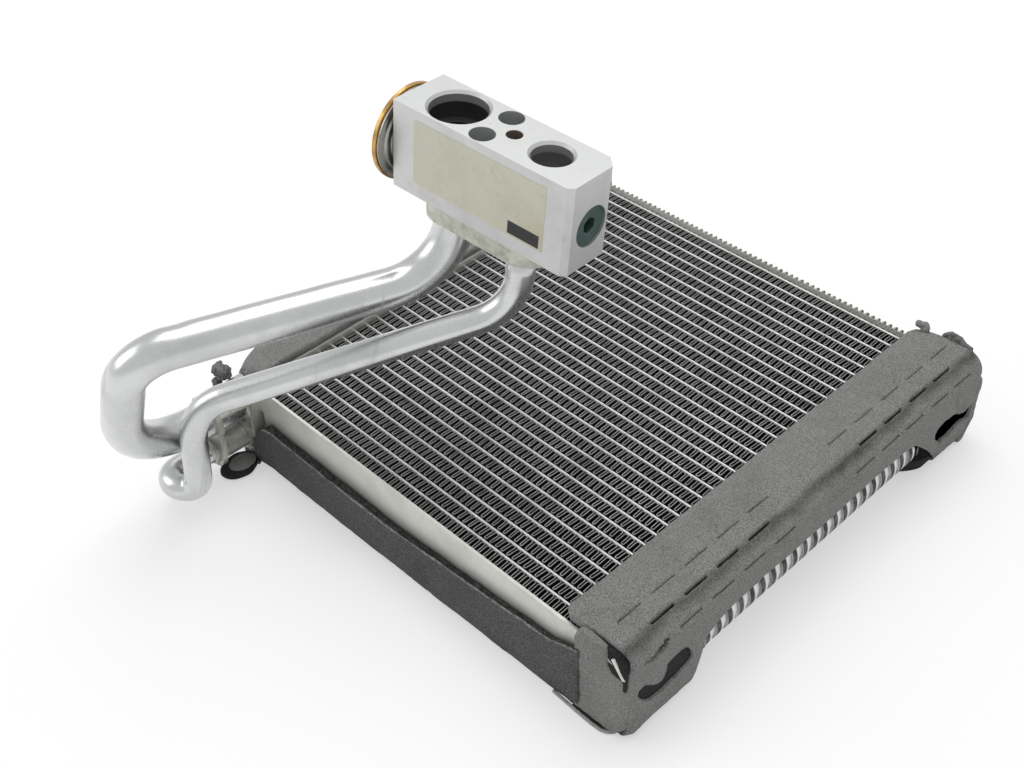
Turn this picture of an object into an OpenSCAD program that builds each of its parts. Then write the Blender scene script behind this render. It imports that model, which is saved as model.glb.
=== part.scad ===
// Evaporator core with a block expansion valve, for a vehicle air conditioner.
// X runs along the flat tubes, Y along the two headers and Z up through the core's depth.
// The origin is under the middle of the whole part, on the surface that it lies on.

/* [Core] */
// Number of flat tubes in each of the two rows
tube_count = 32; // [28:1:36]
// Distance from one tube to the next
tube_pitch = 7; // [6.6:0.1:7.6]
// Thickness of a flat tube
tube_t = 1.2; // [1:0.1:1.6]
// Wall of a flat tube, and of the webs inside it
tube_wall = 0.35; // [0.3:0.05:0.4]
// Number of channels in a flat tube
tube_ports = 4; // [3:1:6]
// Depth of the fins, from the core's upper face to its lower face
core_depth = 38; // [36:1:42]
// Length of the finned stretch between the headers
fin_length = 196; // [180:1:215]
// Thickness of the fin sheet
fin_t = 0.5; // [0.3:0.1:0.7]
// Number of waves in one fin strip
fin_waves = 22; // [16:1:24]
// Gap left for the braze between a fin's crests and a tube
braze_gap = 0.02; // [0.01:0.01:0.05]
// Thickness of a side plate
side_t = 1.2; // [1:0.1:2]
// How far the far side plate's upper edge lies below the fins'
side_drop = 3; // [0:0.5:4]
// Width of the tab at each end of a side plate
side_tab_w = 9; // [6:1:14]

/* [Headers] */
// Distance from the fins' end to the header plate
header_gap = 2; // [1:0.5:4]
// Sheet thickness of the header plates
header_t = 1; // [0.8:0.1:1.5]
// How far a header stands proud of the fins, above and below
header_over = 1.5; // [1:0.1:2.5]
// Height of the rims that fold round a tank
header_rim = 7; // [5:0.5:9]
// Sheet thickness of the tanks
tank_wall = 1; // [0.8:0.1:1.4]
// Depth of a tank, outwards from its header plate
tank_depth = 17.6; // [16:0.2:22]
// How far the two round chambers of a tank run into each other
tank_lap = 0.4; // [0.2:0.1:0.8]
// Slip clearance between a tank and the rims round it
tank_clear = 0.05; // [0.02:0.01:0.1]
// Height of the ribs pressed into a tank
rib_h = 0.9; // [0.6:0.1:1.4]
// Width of one rib
rib_w = 4.2; // [3:0.2:4.6]
// Length of a tank past its outermost tube
tank_over = 9; // [8:0.5:12]
// Length of the inlet tank past its first tube, at the pipe end
tank_over_pipes = 13; // [12:0.5:16]
// Thickness of the end caps and baffles
cap_t = 2; // [1.5:0.1:3]
// How far a tube reaches into a tank
tube_reach = 3; // [2:0.5:4]
// Clearance round a tube in its slot
slot_clear = 0.05; // [0.03:0.01:0.1]

/* [Valve block] */
// Length of the valve block
valve_l = 87; // [84:1:94]
// Width of the valve block
valve_w = 27.4; // [27:0.1:32]
// Height of the valve block, from port face to flange face
valve_h = 38; // [36:0.5:44]
// Distance along X from the fins' start to the valve's head end
valve_x = 47.2; // [44:0.5:56]
// Distance along Y from the first tube to the valve's middle line
valve_y = 58.6; // [50:0.5:64]
// Height of the port face over the core's upper face
valve_z = 140.4; // [134:0.5:150]
// Turn of the valve about the vertical
valve_yaw = 4.2; // [0:0.1:8]
// Dip of the valve's plug end
valve_dip = 3.7; // [0:0.1:6]
// Lean of the valve to its back
valve_lean = -2.8; // [-6:0.1:0]
// Depth of the long drilling, from head to plug, below the port face
valve_axis = 21.4; // [19:0.1:22]
// Chamfer on the front vertical edges
edge_cut = 2.2; // [1:0.1:3]
// Chamfer on the back vertical edge at the plug end
back_cut = 4.4; // [3:0.1:5]
// Distance of the suction ports from the head end
suction_x = 21; // [20:0.1:22]
// Radius of the upper suction port
suction_port_r = 11.7; // [10.5:0.1:11.8]
// Depth of the upper suction port
suction_port_d = 11; // [9:0.5:11.5]
// Radius of the passage between the suction ports
suction_bore_r = 7.6; // [7:0.1:8]
// Distance of the upper liquid port from the head end
liquid_top_x = 66.6; // [65:0.1:68]
// Distance of the lower liquid port from the head end
liquid_x = 56; // [55:0.1:56.5]
// Radius of the upper liquid port
liquid_port_r = 7.95; // [7:0.05:8]
// Depth of the upper liquid port
liquid_port_d = 10; // [8:0.5:11]
// Radius of the drillings behind the liquid ports
liquid_bore_r = 4; // [3.5:0.1:4.5]
// Width of the lead-in at the mouth of an upper port
port_lead = 1.1; // [0.6:0.1:1.5]
// Distance of the flange bolts from the head end
bolt_x = 40.1; // [39.5:0.1:40.5]
// Distance of each flange bolt from the middle line
bolt_y = 8.2; // [7.9:0.1:8.3]
// Radius of a flange bolt's shank
bolt_r = 2.8; // [2.5:0.1:2.9]
// Clearance of the shank in the valve block
bolt_clear = 0.3; // [0.2:0.05:0.4]
// Radius of the bolts' counterbores
bolt_sink_r = 5.1; // [4.9:0.05:5.2]
// Depth of the bolts' counterbores
bolt_sink_d = 13; // [10:0.5:14]
// Radius of a bolt's head
bolt_head_r = 4.7; // [4.4:0.1:4.8]
// Height of a bolt's head
bolt_head_h = 5; // [4:0.5:6]
// Size across the flats of the sockets in the bolt heads
bolt_key = 5; // [4:0.5:5.5]
// Depth of the sockets in the bolt heads
bolt_key_d = 3; // [2:0.5:3.5]
// Distance of the threaded hole from the head end
thread_x = 48.6; // [48:0.1:49.5]
// Radius of the threaded hole's wall
thread_r = 3.3; // [2.8:0.05:3.4]
// Depth of the threaded hole
thread_d = 13; // [10:0.5:13.5]

/* [Valve inner pieces] */
// Radius of the sensing rod
rod_r = 2.5; // [2:0.1:2.6]
// Running clearance of the rod in its guide
rod_clear = 0.05; // [0.02:0.01:0.08]
// Cord radius of the rod's seal
rod_seal_r = 0.8; // [0.6:0.05:0.9]
// Radius of the push pin at the rod's tip
pin_r = 1.3; // [1:0.1:1.5]
// Radius of the orifice
orifice_r = 2.2; // [2:0.1:2.4]
// Distance of the ball's seat from the head end
seat_x = 61; // [60.5:0.1:61.5]
// Length of the orifice
orifice_l = 3; // [2.5:0.1:3.5]
// Radius of the ball
ball_r = 3; // [2.8:0.1:3.4]
// Gap between the ball and its seat when the valve is shut
seat_gap = 0.05; // [0.02:0.01:0.1]
// Radius of the spring's chamber
chamber_r = 5.6; // [5.3:0.1:6]
// Radius of the ball carrier
carrier_r = 4.9; // [4.6:0.1:5]
// Length of the ball carrier
carrier_l = 4.5; // [4:0.5:5]
// Mean radius of the spring
spring_r = 3.9; // [3.6:0.1:4]
// Radius of the spring's wire
wire_r = 0.6; // [0.4:0.1:0.7]
// Number of turns of the spring
spring_turns = 4; // [3:1:5]
// Radius of the adjusting plug
plug_r = 8.4; // [7.8:0.1:8.6]
// Length of the adjusting plug
plug_l = 6.5; // [6:0.5:7]
// How far the plug lies below the end face
plug_sink = 1; // [0.5:0.1:1.5]
// Size across the flats of the plug's socket
plug_key = 6; // [5:0.5:7]
// Depth of the plug's socket
plug_key_d = 4; // [3:0.5:4.5]
// Clearance of the plug in its bore
plug_clear = 0.05; // [0.02:0.01:0.1]
// Outer radius of the head's rim
head_r = 20.2; // [19:0.1:20.5]
// Thickness of the diaphragm
diaphragm_t = 0.25; // [0.2:0.05:0.3]
// Thickness of the pad under the diaphragm
pad_t = 1.2; // [1:0.1:1.5]
// Radius of the pad under the diaphragm
pad_r = 8.5; // [7:0.1:9.5]
// Radius of the stem that screws into the block
stem_r = 7.9; // [7.5:0.1:8.2]
// Length of the stem
stem_l = 7.5; // [6:0.1:8]

/* [Flange and pipes] */
// Thickness of the flange plate
flange_t = 9; // [7:0.5:10]
// Radius of the flange plate's round ends
flange_r = 11.7; // [11.5:0.1:12]
// Distance of the flange's far end centre from the head end
flange_end_x = 58.5; // [57:0.1:60]
// Outer radius of the suction pipe
suction_r = 8.5; // [8:0.1:8.5]
// Outer radius of the liquid pipe
liquid_r = 6; // [5.5:0.1:6.2]
// Radius of the liquid pipe's neck at the flange
neck_r = 4.75; // [4.5:0.05:5.2]
// Length of the neck below the flange
neck_l = 5; // [4:0.5:7]
// Length of the taper below the neck
neck_taper = 4; // [3:0.5:6]
// Wall of both pipes
pipe_wall = 1.5; // [1:0.1:1.8]
// How much slimmer the wall is round a bend, on each side
bend_slim = 0.03; // [0.02:0.01:0.05]
// How far a straight length runs on into a bend
bend_lap = 0.2; // [0.1:0.05:0.4]
// How far the liquid pipe's end lies outside the middle of its chamber
liquid_offset = 1; // [0:0.1:1.2]
// How far the pipe ends reach into the valve block
spigot_l = 7; // [6:0.5:8]
// Clearance of a pipe in a hole that it is brazed or plugged into
pipe_clear = 0.05; // [0.03:0.01:0.1]
// Cord radius of the pipe seals
seal_r = 1.1; // [0.9:0.05:1.2]
// Drop of the pipes below the flange before they turn
pipe_drop = 29.5; // [27:0.5:31]
// Where the suction pipe turns down beside the core
suction_turn = [21.1, -73.3, 68.8];
// How far the suction hairpin lies in front of the first tube
suction_front = 74.7; // [73.5:0.1:80]
// Bend radii of the suction pipe
suction_bends = [29, 20.2, 42.6];
// Where the liquid pipe turns down beside the core
liquid_turn = [6.6, -44.9, 17.2];
// Where the liquid pipe's leg ends, along X and Y
liquid_foot = [5.9, -49.2];
// How far the liquid elbow lies in front of the first tube
liquid_front = 61.5; // [61.2:0.1:66]
// Bend radii of the liquid pipe
liquid_bends = [26, 25, 7.5, 7.1];
// Outer radius of the sleeve round the liquid pipe's end
sleeve_r = 7; // [6.8:0.1:7.6]
// Length of the sleeve outside the tank
sleeve_l = 19; // [16:0.5:22]
// Radius of the sleeve's collar against the tank
collar_r = 8.6; // [8.2:0.1:9]
// Thickness of the plate that ties the two pipes
tie_t = 2.5; // [2:0.1:4]
// Rim of the tie plate round each pipe
tie_rim = 2; // [1.5:0.1:3]
// Distance of the tie plate from the tank
tie_gap = 15; // [12:0.5:17]

/* [Foam] */
// Thickness of the foam strips
foam_t = 3.5; // [3:0.1:5]
// Gap between foam and metal
foam_clear = 0.2; // [0.1:0.05:0.3]
// How far the foam on the return header covers the fins
foam_lip = 10.5; // [6:0.5:14]
// Distance from the fins' start to the edge of the inlet header's foam
foam_set_back = 5; // [3:0.5:8]
// Outer bend radius of the foam
foam_bend = 9; // [6:0.5:11]
// Height of the foam's front wall on the return header, below the core's upper face
foam_drop = 11.5; // [9:0.5:16]
// Length of the deep foam lobe at each end of the return header
lobe_l = 46; // [36:1:56]
// Width of the foam's flaps under the headers
foam_under = 20; // [14:0.5:24]
// Length of a perforation in the return header's foam
slit_l = 13.5; // [8:0.5:14]
// Distance from one perforation to the next
slit_pitch = 18.6; // [17:0.1:20]
// Where the far group of each row begins, along the header; the middle stays whole
slit_far = [131.3, 139.8, 130.2];
// Width of the wide perforations
slit_w = 1.4; // [1:0.1:2]
// Width of the thin perforations
slit_thin_w = 0.6; // [0.4:0.1:0.8]
// How far the far end of the inlet header's foam reaches over the fins
flap_reach = 9; // [6:0.5:12]
// Height of the side foam below the core's upper face
side_foam_top = 12; // [8:0.5:16]
// Thickness of the side foam
side_foam_t = 4.5; // [4:0.1:5]
// Width of the side foam's flap under the core
side_foam_under = 14; // [10:0.5:20]
// Length of the black pad on the inlet tank's end
pad_l = 8; // [6:0.5:10]

/* [Label] */
// Length of the label
label_l = 64; // [50:1:64]
// Height of the label
label_h = 28; // [20:1:28]
// Thickness of the label
label_t = 0.15; // [0.1:0.05:0.2]
// Corner radius of the label
label_r = 3; // [2:0.5:5]
// Distance from the head end to the label
label_x = 10.8; // [8:0.1:14]

/* [Hidden] */
$fn = 48;
cut = 1;
eps = 0.01;

last_tube_y = (tube_count - 1) * tube_pitch;
fin_h = tube_pitch - tube_t;
header_h = core_depth + 2 * header_over;
tank_h = header_h - 2 * header_t - 2 * tank_clear;
chamber_out = tank_h / 4 + tank_lap / 2;
chamber_in = chamber_out - tank_wall;
chamber_dz = tank_h / 2 - chamber_out;
tank_u = header_gap + header_t;
chamber_u = tank_u + tank_depth - chamber_out;
rib_out_u = tank_u + tank_depth + rib_h;
mid_z = -core_depth / 2;
tube_w = 2 * chamber_in - 4 * slot_clear;
pipe_axis_x = -chamber_u;
liquid_axis_x = pipe_axis_x - liquid_offset;
port_pitch = (tube_w - tube_t) / tube_ports;
tube_end_u = tank_u + tube_reach;
side_in_y = tube_t / 2 + fin_h;

foam_in_u = rib_out_u + foam_clear;
foam_out_u = foam_in_u + foam_t;
foam_in_z = header_over + foam_clear;
foam_out_z = foam_in_z + foam_t;
foam_end_y = tank_over + foam_clear + foam_t;
floor_z = -core_depth - foam_out_z;

// The seat's ball centre, and the plug's inner face
ball_x = seat_x + sqrt(ball_r * ball_r - orifice_r * orifice_r) + seat_gap;
carrier_x = ball_x + 0.6 * ball_r;
plug_x = valve_l - plug_sink - plug_l;
axis_z = -valve_axis;
head_x = 3.4;

// Rotation of the valve, as a matrix
function rot_x(a) = [[1, 0, 0], [0, cos(a), -sin(a)], [0, sin(a), cos(a)]];
function rot_y(a) = [[cos(a), 0, sin(a)], [0, 1, 0], [-sin(a), 0, cos(a)]];
function rot_z(a) = [[cos(a), -sin(a), 0], [sin(a), cos(a), 0], [0, 0, 1]];
valve_turn = rot_z(valve_yaw) * rot_y(valve_dip) * rot_x(valve_lean);
function valve_point(p) = valve_turn * p + [valve_x, valve_y, valve_z];
function unit(v) = v / norm(v);

// Corner points of the two pipe routes
flange_z = -valve_h - flange_t;
upper_z = mid_z + chamber_dz;
lower_z = mid_z - chamber_dz;
tank_end_y = -tank_over_pipes;
suction_route = [valve_point([suction_x, 0, spigot_l - valve_h]),
    valve_point([suction_x, 0, flange_z - pipe_drop]),
    suction_turn,
    [pipe_axis_x, -suction_front, upper_z],
    [pipe_axis_x, tank_end_y + cap_t + 2, upper_z]];
liquid_route = [valve_point([liquid_x, 0, flange_z - neck_l - neck_taper]),
    valve_point([liquid_x, 0, flange_z - pipe_drop]),
    liquid_turn,
    [liquid_foot[0], liquid_foot[1], lower_z],
    [liquid_axis_x, -liquid_front, lower_z],
    [liquid_axis_x, tank_end_y + cap_t + 2, lower_z]];

// Bend geometry: directions to the neighbours, tangent length and centre
function to_prev(p, i) = unit(p[i - 1] - p[i]);
function to_next(p, i) = unit(p[i + 1] - p[i]);
function opening(p, i) = acos(to_prev(p, i) * to_next(p, i));
function tangent(p, b, i) = i == 0 || i == len(p) - 1 ? 0 : b[i - 1] / tan(opening(p, i) / 2);
function centre(p, b, i) = p[i] + unit(to_prev(p, i) + to_next(p, i))
    * b[i - 1] / sin(opening(p, i) / 2);

// Frame: the middle of the bounding box in plan, and the floor
x_min = -foam_out_u;
x_max = fin_length + foam_out_u;
y_min = centre(suction_route, suction_bends, 3)[1] - suction_bends[2] - suction_r;
y_max = last_tube_y + foam_end_y;
shift = [-(x_min + x_max) / 2, -(y_min + y_max) / 2, -floor_z];

module in_frame() {
    translate(shift) children();
}

module at_valve() {
    in_frame() translate([valve_x, valve_y, valve_z])
        rotate([valve_lean, valve_dip, valve_yaw]) children();
}

// Local Z becomes the valve's own X, with the distance from the head end as height
module along_valve(x) {
    at_valve() translate([x, 0, axis_z]) rotate([0, 90, 0]) children();
}

// Columns of a rigid placement
module placed(x, y, z, o) {
    multmatrix([[x[0], y[0], z[0], o[0]], [x[1], y[1], z[1], o[1]],
        [x[2], y[2], z[2], o[2]], [0, 0, 0, 1]]) children();
}

// A header's own section: u outwards from the fins' end, and Z; side is -1 or 1
module header_section(side, y0, y1) {
    in_frame() translate([side < 0 ? 0 : fin_length, y1, 0])
        rotate([90, 0, 0]) linear_extrude(height = y1 - y0)
            scale([side, 1, 1]) children();
}

// Core

module tube_section() {
    difference() {
        union() {
            square([tube_w - tube_t, tube_t], center = true);
            for (s = [-1, 1])
                translate([s * (tube_w - tube_t) / 2, 0]) circle(d = tube_t);
        }
        for (i = [0 : tube_ports - 1])
            translate([(i + 0.5 - tube_ports / 2) * port_pitch, 0])
                square([port_pitch - tube_wall, tube_t - 2 * tube_wall], center = true);
    }
}

module tube_row(z) {
    in_frame() for (i = [0 : tube_count - 1])
        translate([-tube_end_u, i * tube_pitch, z]) rotate([90, 0, 90])
            linear_extrude(height = fin_length + 2 * tube_end_u)
                rotate(90) tube_section();
}

module tubes_upper() {
    color([0.86, 0.87, 0.88]) tube_row(upper_z);
}

module tubes_lower() {
    color([0.86, 0.87, 0.88]) tube_row(lower_z);
}

// A folded strip: a zigzag outline between two tubes, with its crests on them
module fin_strip() {
    reach = fin_h / 2 - braze_gap;
    half_wave = fin_length / (2 * fin_waves);
    inner = reach - fin_t * sqrt(pow(half_wave / 2, 2) + reach * reach) / (half_wave / 2);
    count = 2 * fin_waves;
    upper = [for (i = [0 : count]) [i * half_wave, i % 2 == 0 ? -inner : reach]];
    lower = [for (i = [count : -1 : 0]) [i * half_wave, i % 2 == 0 ? -reach : inner]];
    translate([0, 0, -core_depth]) linear_extrude(height = core_depth)
        polygon(concat(upper, lower));
}

module fins() {
    color([0.62, 0.63, 0.64]) in_frame() for (i = [0 : tube_count])
        translate([0, (i - 0.5) * tube_pitch, 0]) fin_strip();
}

// A flat plate with a tab at each end that enters the header plate's slot
module side_plate(y, drop) {
    tab_l = header_gap + header_t;
    in_frame() translate([0, y, 0]) {
        translate([0, 0, -core_depth]) cube([fin_length, side_t, core_depth - drop]);
        for (z = [upper_z, lower_z])
            translate([-tab_l, 0, z - side_tab_w / 2])
                cube([fin_length + 2 * tab_l, side_t, side_tab_w]);
    }
}

module side_plate_near() {
    color([0.82, 0.83, 0.84]) side_plate(-side_in_y - side_t, 0);
}

module side_plate_far() {
    color([0.82, 0.83, 0.84]) side_plate(last_tube_y + side_in_y, side_drop);
}

// Headers

module header_channel() {
    translate([header_gap, mid_z - header_h / 2]) square([header_t, header_h]);
    for (z = [mid_z + header_h / 2 - header_t, mid_z - header_h / 2])
        translate([header_gap, z]) square([header_t + header_rim, header_t]);
}

module header_plate(side, y0, y1) {
    slot_w = tube_w + 2 * slot_clear;
    slot_t = tube_t + 2 * slot_clear;
    x0 = side < 0 ? -tank_u - cut : fin_length + header_gap - cut;
    difference() {
        header_section(side, y0, y1) header_channel();
        in_frame() for (i = [0 : tube_count - 1], z = [upper_z, lower_z])
            translate([x0, i * tube_pitch, z]) rotate([90, 0, 90])
                linear_extrude(height = header_t + 2 * cut) rotate(90) {
                    square([slot_w - slot_t, slot_t], center = true);
                    for (s = [-1, 1])
                        translate([s * (slot_w - slot_t) / 2, 0]) circle(d = slot_t);
                }
        in_frame() for (y = [-side_in_y - side_t, last_tube_y + side_in_y],
            z = [upper_z, lower_z])
            translate([x0, y - slot_clear, z - side_tab_w / 2 - slot_clear])
                cube([header_t + 2 * cut, side_t + 2 * slot_clear,
                    side_tab_w + 2 * slot_clear]);
    }
}

module chambers(r) {
    for (s = [-1, 1]) {
        intersection() {
            translate([chamber_u, mid_z + s * chamber_dz]) circle(r);
            translate([tank_u, mid_z - header_h]) square([2 * tank_depth, 2 * header_h]);
        }
        translate([tank_u, mid_z + s * chamber_dz - r]) square([chamber_u - tank_u, 2 * r]);
    }
}

module rib_section() {
    difference() {
        for (s = [-1, 1])
            translate([chamber_u, mid_z + s * chamber_dz]) circle(chamber_out + rib_h);
        chambers(chamber_out - tank_wall / 2);
        translate([-tank_depth, mid_z - header_h])
            square([tank_depth + tank_u + header_rim + tank_clear, 2 * header_h]);
    }
}

module tank(side, y0, y1) {
    header_section(side, y0, y1) difference() {
        chambers(chamber_out);
        chambers(chamber_in);
    }
    for (i = [0 : tube_count - 1])
        header_section(side, i * tube_pitch - rib_w / 2, i * tube_pitch + rib_w / 2)
            rib_section();
}

module tank_cap(side, y0, y1) {
    header_section(side, y0, y1) chambers(chamber_in - slot_clear);
}

// The plate is notched where the suction pipe's end enters the upper chamber
module inlet_header_plate() {
    color([0.78, 0.79, 0.8]) difference() {
        header_plate(-1, tank_end_y, last_tube_y + tank_over);
        in_frame() translate([pipe_axis_x, tank_end_y - cut, upper_z]) rotate([-90, 0, 0])
            cylinder(h = cut + cap_t + 2 + slot_clear, r = suction_r + pipe_clear);
    }
}

module inlet_tank() {
    color([0.8, 0.81, 0.82]) tank(-1, tank_end_y, last_tube_y + tank_over);
}

module inlet_tank_caps() {
    color([0.72, 0.73, 0.74]) {
        difference() {
            tank_cap(-1, tank_end_y, tank_end_y + cap_t);
            in_frame() translate([pipe_axis_x, tank_end_y - cut, upper_z]) rotate([-90, 0, 0])
                cylinder(h = cap_t + 2 * cut, r = suction_r + pipe_clear);
            in_frame() translate([liquid_axis_x, tank_end_y - cut, lower_z]) rotate([-90, 0, 0])
                cylinder(h = cap_t + 2 * cut, r = sleeve_r + pipe_clear);
        }
        tank_cap(-1, last_tube_y + tank_over - cap_t, last_tube_y + tank_over);
    }
}

// A wall across each chamber, halfway between two tubes, which splits the tank into passes
module inlet_baffles() {
    baffle_tube = floor(tube_count / 2) - 0.5;
    baffle_y = baffle_tube * tube_pitch;
    color([0.72, 0.73, 0.74])
        tank_cap(-1, baffle_y - cap_t / 2, baffle_y + cap_t / 2);
}

module return_header_plate() {
    color([0.78, 0.79, 0.8]) header_plate(1, -tank_over, last_tube_y + tank_over);
}

module return_tank() {
    color([0.86, 0.87, 0.88]) tank(1, -tank_over, last_tube_y + tank_over);
}

module return_tank_caps() {
    color([0.72, 0.73, 0.74]) {
        tank_cap(1, -tank_over, cap_t - tank_over);
        tank_cap(1, last_tube_y + tank_over - cap_t, last_tube_y + tank_over);
    }
}

// Pipes

// A bent pipe: straight lengths between tangent points, and a true arc at each corner
module bent_pipe(p, b, r, wall) {
    for (i = [0 : len(p) - 2]) {
        d = to_next(p, i);
        a = abs(d[2]) < 0.9 ? [0, 0, 1] : [1, 0, 0];
        side_dir = unit(cross(a, d));
        start_lap = i == 0 ? 0 : bend_lap;
        end_lap = i == len(p) - 2 ? 0 : bend_lap;
        length = norm(p[i + 1] - p[i]) - tangent(p, b, i) - tangent(p, b, i + 1);
        placed(side_dir, cross(d, side_dir), d, p[i] + d * (tangent(p, b, i) - start_lap))
            linear_extrude(height = length + start_lap + end_lap) pipe_section(r, wall);
    }
    for (i = [1 : len(p) - 2]) {
        start = p[i] + to_prev(p, i) * tangent(p, b, i);
        out = unit(start - centre(p, b, i));
        ahead = -to_prev(p, i);
        placed(out, ahead, cross(out, ahead), centre(p, b, i))
            rotate_extrude(angle = 180 - opening(p, i))
                translate([b[i - 1], 0])
                    pipe_section(r - bend_slim, wall - 2 * bend_slim);
    }
}

module pipe_section(r, wall) {
    difference() {
        circle(r);
        circle(r - wall);
    }
}

module suction_pipe() {
    color([0.8, 0.81, 0.82]) in_frame()
        bent_pipe(suction_route, suction_bends, suction_r, pipe_wall);
}

// The liquid pipe is drawn down to a narrow neck where it enters the flange
module liquid_pipe() {
    color([0.8, 0.81, 0.82]) {
        in_frame() bent_pipe(liquid_route, liquid_bends, liquid_r, pipe_wall);
        at_valve() translate([liquid_x, 0, flange_z - neck_l - neck_taper])
            rotate_extrude() polygon([
                [liquid_r - pipe_wall + bend_slim, -bend_lap],
                [liquid_r - bend_slim, -bend_lap],
                [neck_r, neck_taper],
                [neck_r, neck_taper + neck_l + flange_t + spigot_l],
                [neck_r - pipe_wall, neck_taper + neck_l + flange_t + spigot_l],
                [neck_r - pipe_wall, neck_taper]]);
    }
}

module liquid_sleeve() {
    inner = liquid_r + pipe_clear;
    color([0.74, 0.75, 0.76]) in_frame()
        translate([liquid_axis_x, tank_end_y - sleeve_l, lower_z]) rotate([-90, 0, 0])
            rotate_extrude() polygon([
                [inner, 0],
                [sleeve_r, 0],
                [sleeve_r, sleeve_l - cap_t],
                [collar_r, sleeve_l - cap_t],
                [collar_r, sleeve_l],
                [sleeve_r, sleeve_l],
                [sleeve_r, sleeve_l + cap_t + 1],
                [inner, sleeve_l + cap_t + 1]]);
}

module pipe_tie_plate() {
    color([0.7, 0.71, 0.71]) in_frame()
        translate([pipe_axis_x, tank_end_y - tie_gap, 0]) rotate([90, 0, 0])
            linear_extrude(height = tie_t) difference() {
                union() {
                    translate([0, upper_z]) circle(suction_r + tie_rim);
                    translate([-liquid_offset, lower_z]) circle(sleeve_r + tie_rim);
                    translate([-sleeve_r - tie_rim, lower_z])
                        square([2 * (sleeve_r + tie_rim), upper_z - lower_z]);
                }
                translate([0, upper_z]) circle(suction_r + pipe_clear);
                translate([-liquid_offset, lower_z]) circle(sleeve_r + pipe_clear);
            }
}

// Flange

module flange_outline() {
    translate([suction_x, 0]) circle(flange_r);
    translate([flange_end_x, 0]) circle(flange_r);
    translate([suction_x, -flange_r]) square([flange_end_x - suction_x, 2 * flange_r]);
}

module flange_plate() {
    color([0.8, 0.8, 0.76]) at_valve() translate([0, 0, flange_z]) difference() {
        linear_extrude(height = flange_t) flange_outline();
        translate([suction_x, 0, -cut])
            cylinder(h = flange_t + 2 * cut, r = suction_r + pipe_clear);
        translate([liquid_x, 0, -cut])
            cylinder(h = flange_t + 2 * cut, r = neck_r + pipe_clear);
        for (s = [-1, 1]) translate([bolt_x, s * bolt_y, -cut])
            cylinder(h = flange_t + 2 * cut, r = bolt_r + pipe_clear);
    }
}

module socket_head(r, h, key, key_d) {
    difference() {
        cylinder(h = h, r = r);
        translate([0, 0, h - key_d]) cylinder(h = key_d + cut, d = key / cos(30), $fn = 6);
    }
}

module flange_bolts() {
    shank = valve_h - bolt_sink_d + flange_t;
    color([0.5, 0.54, 0.52]) at_valve() for (s = [-1, 1])
        translate([bolt_x, s * bolt_y, -bolt_sink_d]) {
            socket_head(bolt_head_r, bolt_head_h, bolt_key, bolt_key_d);
            translate([0, 0, -shank]) cylinder(h = shank, r = bolt_r);
        }
}

module ring_seal(x, r) {
    at_valve() translate([x, 0, -valve_h + seal_r]) rotate_extrude()
        translate([r + seal_r, 0]) circle(seal_r - eps);
}

module suction_seal() {
    color([0.1, 0.1, 0.1]) ring_seal(suction_x, suction_r);
}

module liquid_seal() {
    color([0.1, 0.1, 0.1]) ring_seal(liquid_x, neck_r);
}

// Valve block

module block_outline() {
    h = valve_w / 2;
    polygon([[0, -h], [valve_l - edge_cut, -h], [valve_l, edge_cut - h],
        [valve_l, h - back_cut], [valve_l - back_cut, h], [0, h]]);
}

module upper_port(x, r, depth) {
    translate([x, 0, -depth]) cylinder(h = depth + cut, r = r);
    translate([x, 0, -port_lead]) cylinder(h = port_lead, r1 = r, r2 = r + port_lead);
}

module lower_port(x, r) {
    translate([x, 0, -valve_h - cut]) cylinder(h = spigot_l + 1 + cut, r = r + pipe_clear);
    translate([x, 0, -valve_h - cut])
        cylinder(h = 2 * seal_r + cut + eps, r = r + 2 * seal_r + pipe_clear);
}

module valve_drillings() {
    upper_port(suction_x, suction_port_r, suction_port_d);
    upper_port(liquid_top_x, liquid_port_r, liquid_port_d);
    lower_port(suction_x, suction_r);
    lower_port(liquid_x, neck_r);
    translate([suction_x, 0, -valve_h]) cylinder(h = valve_h, r = suction_bore_r);
    translate([liquid_top_x, 0, axis_z]) cylinder(h = -axis_z - cut, r = liquid_bore_r);
    translate([liquid_x, 0, -valve_h + cut])
        cylinder(h = valve_h + axis_z - cut, r = liquid_bore_r - 1);
    for (s = [-1, 1]) translate([bolt_x, s * bolt_y, 0]) {
        translate([0, 0, -valve_h - cut])
            cylinder(h = valve_h + 2 * cut, r = bolt_r + bolt_clear);
        translate([0, 0, -bolt_sink_d]) cylinder(h = bolt_sink_d + cut, r = bolt_sink_r);
    }
    translate([thread_x, 0, -thread_d]) cylinder(h = thread_d + cut, r = thread_r);
}

// The long drilling from head to plug, with its steps
module long_drilling(x0, x1, r) {
    translate([x0, 0, axis_z]) rotate([0, 90, 0]) cylinder(h = x1 - x0, r = r);
}

module valve_body() {
    seal_x = suction_x + suction_bore_r;
    color([0.9, 0.9, 0.89]) difference() {
        at_valve() translate([0, 0, -valve_h]) linear_extrude(height = valve_h)
            block_outline();
        at_valve() valve_drillings();
        at_valve() {
            long_drilling(-cut, stem_l + 0.5, stem_r + plug_clear);
            long_drilling(0, seat_x - orifice_l - 3, rod_r + rod_clear);
            long_drilling(suction_x, seal_x + 3.5, rod_r + 2 * rod_seal_r + 0.1);
            long_drilling(seat_x - orifice_l - 5, seat_x - orifice_l, liquid_bore_r - 1);
            long_drilling(seat_x - orifice_l - 1, seat_x + 1, orifice_r);
            long_drilling(seat_x, plug_x + 1, chamber_r);
            long_drilling(plug_x, valve_l + cut, plug_r + plug_clear);
        }
    }
}

// Head of the valve: profiles turned about the long axis, as distance and radius

module turned_head(points) {
    along_valve(0) rotate_extrude() polygon([for (q = points) [q[1], q[0]]]);
}

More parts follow.
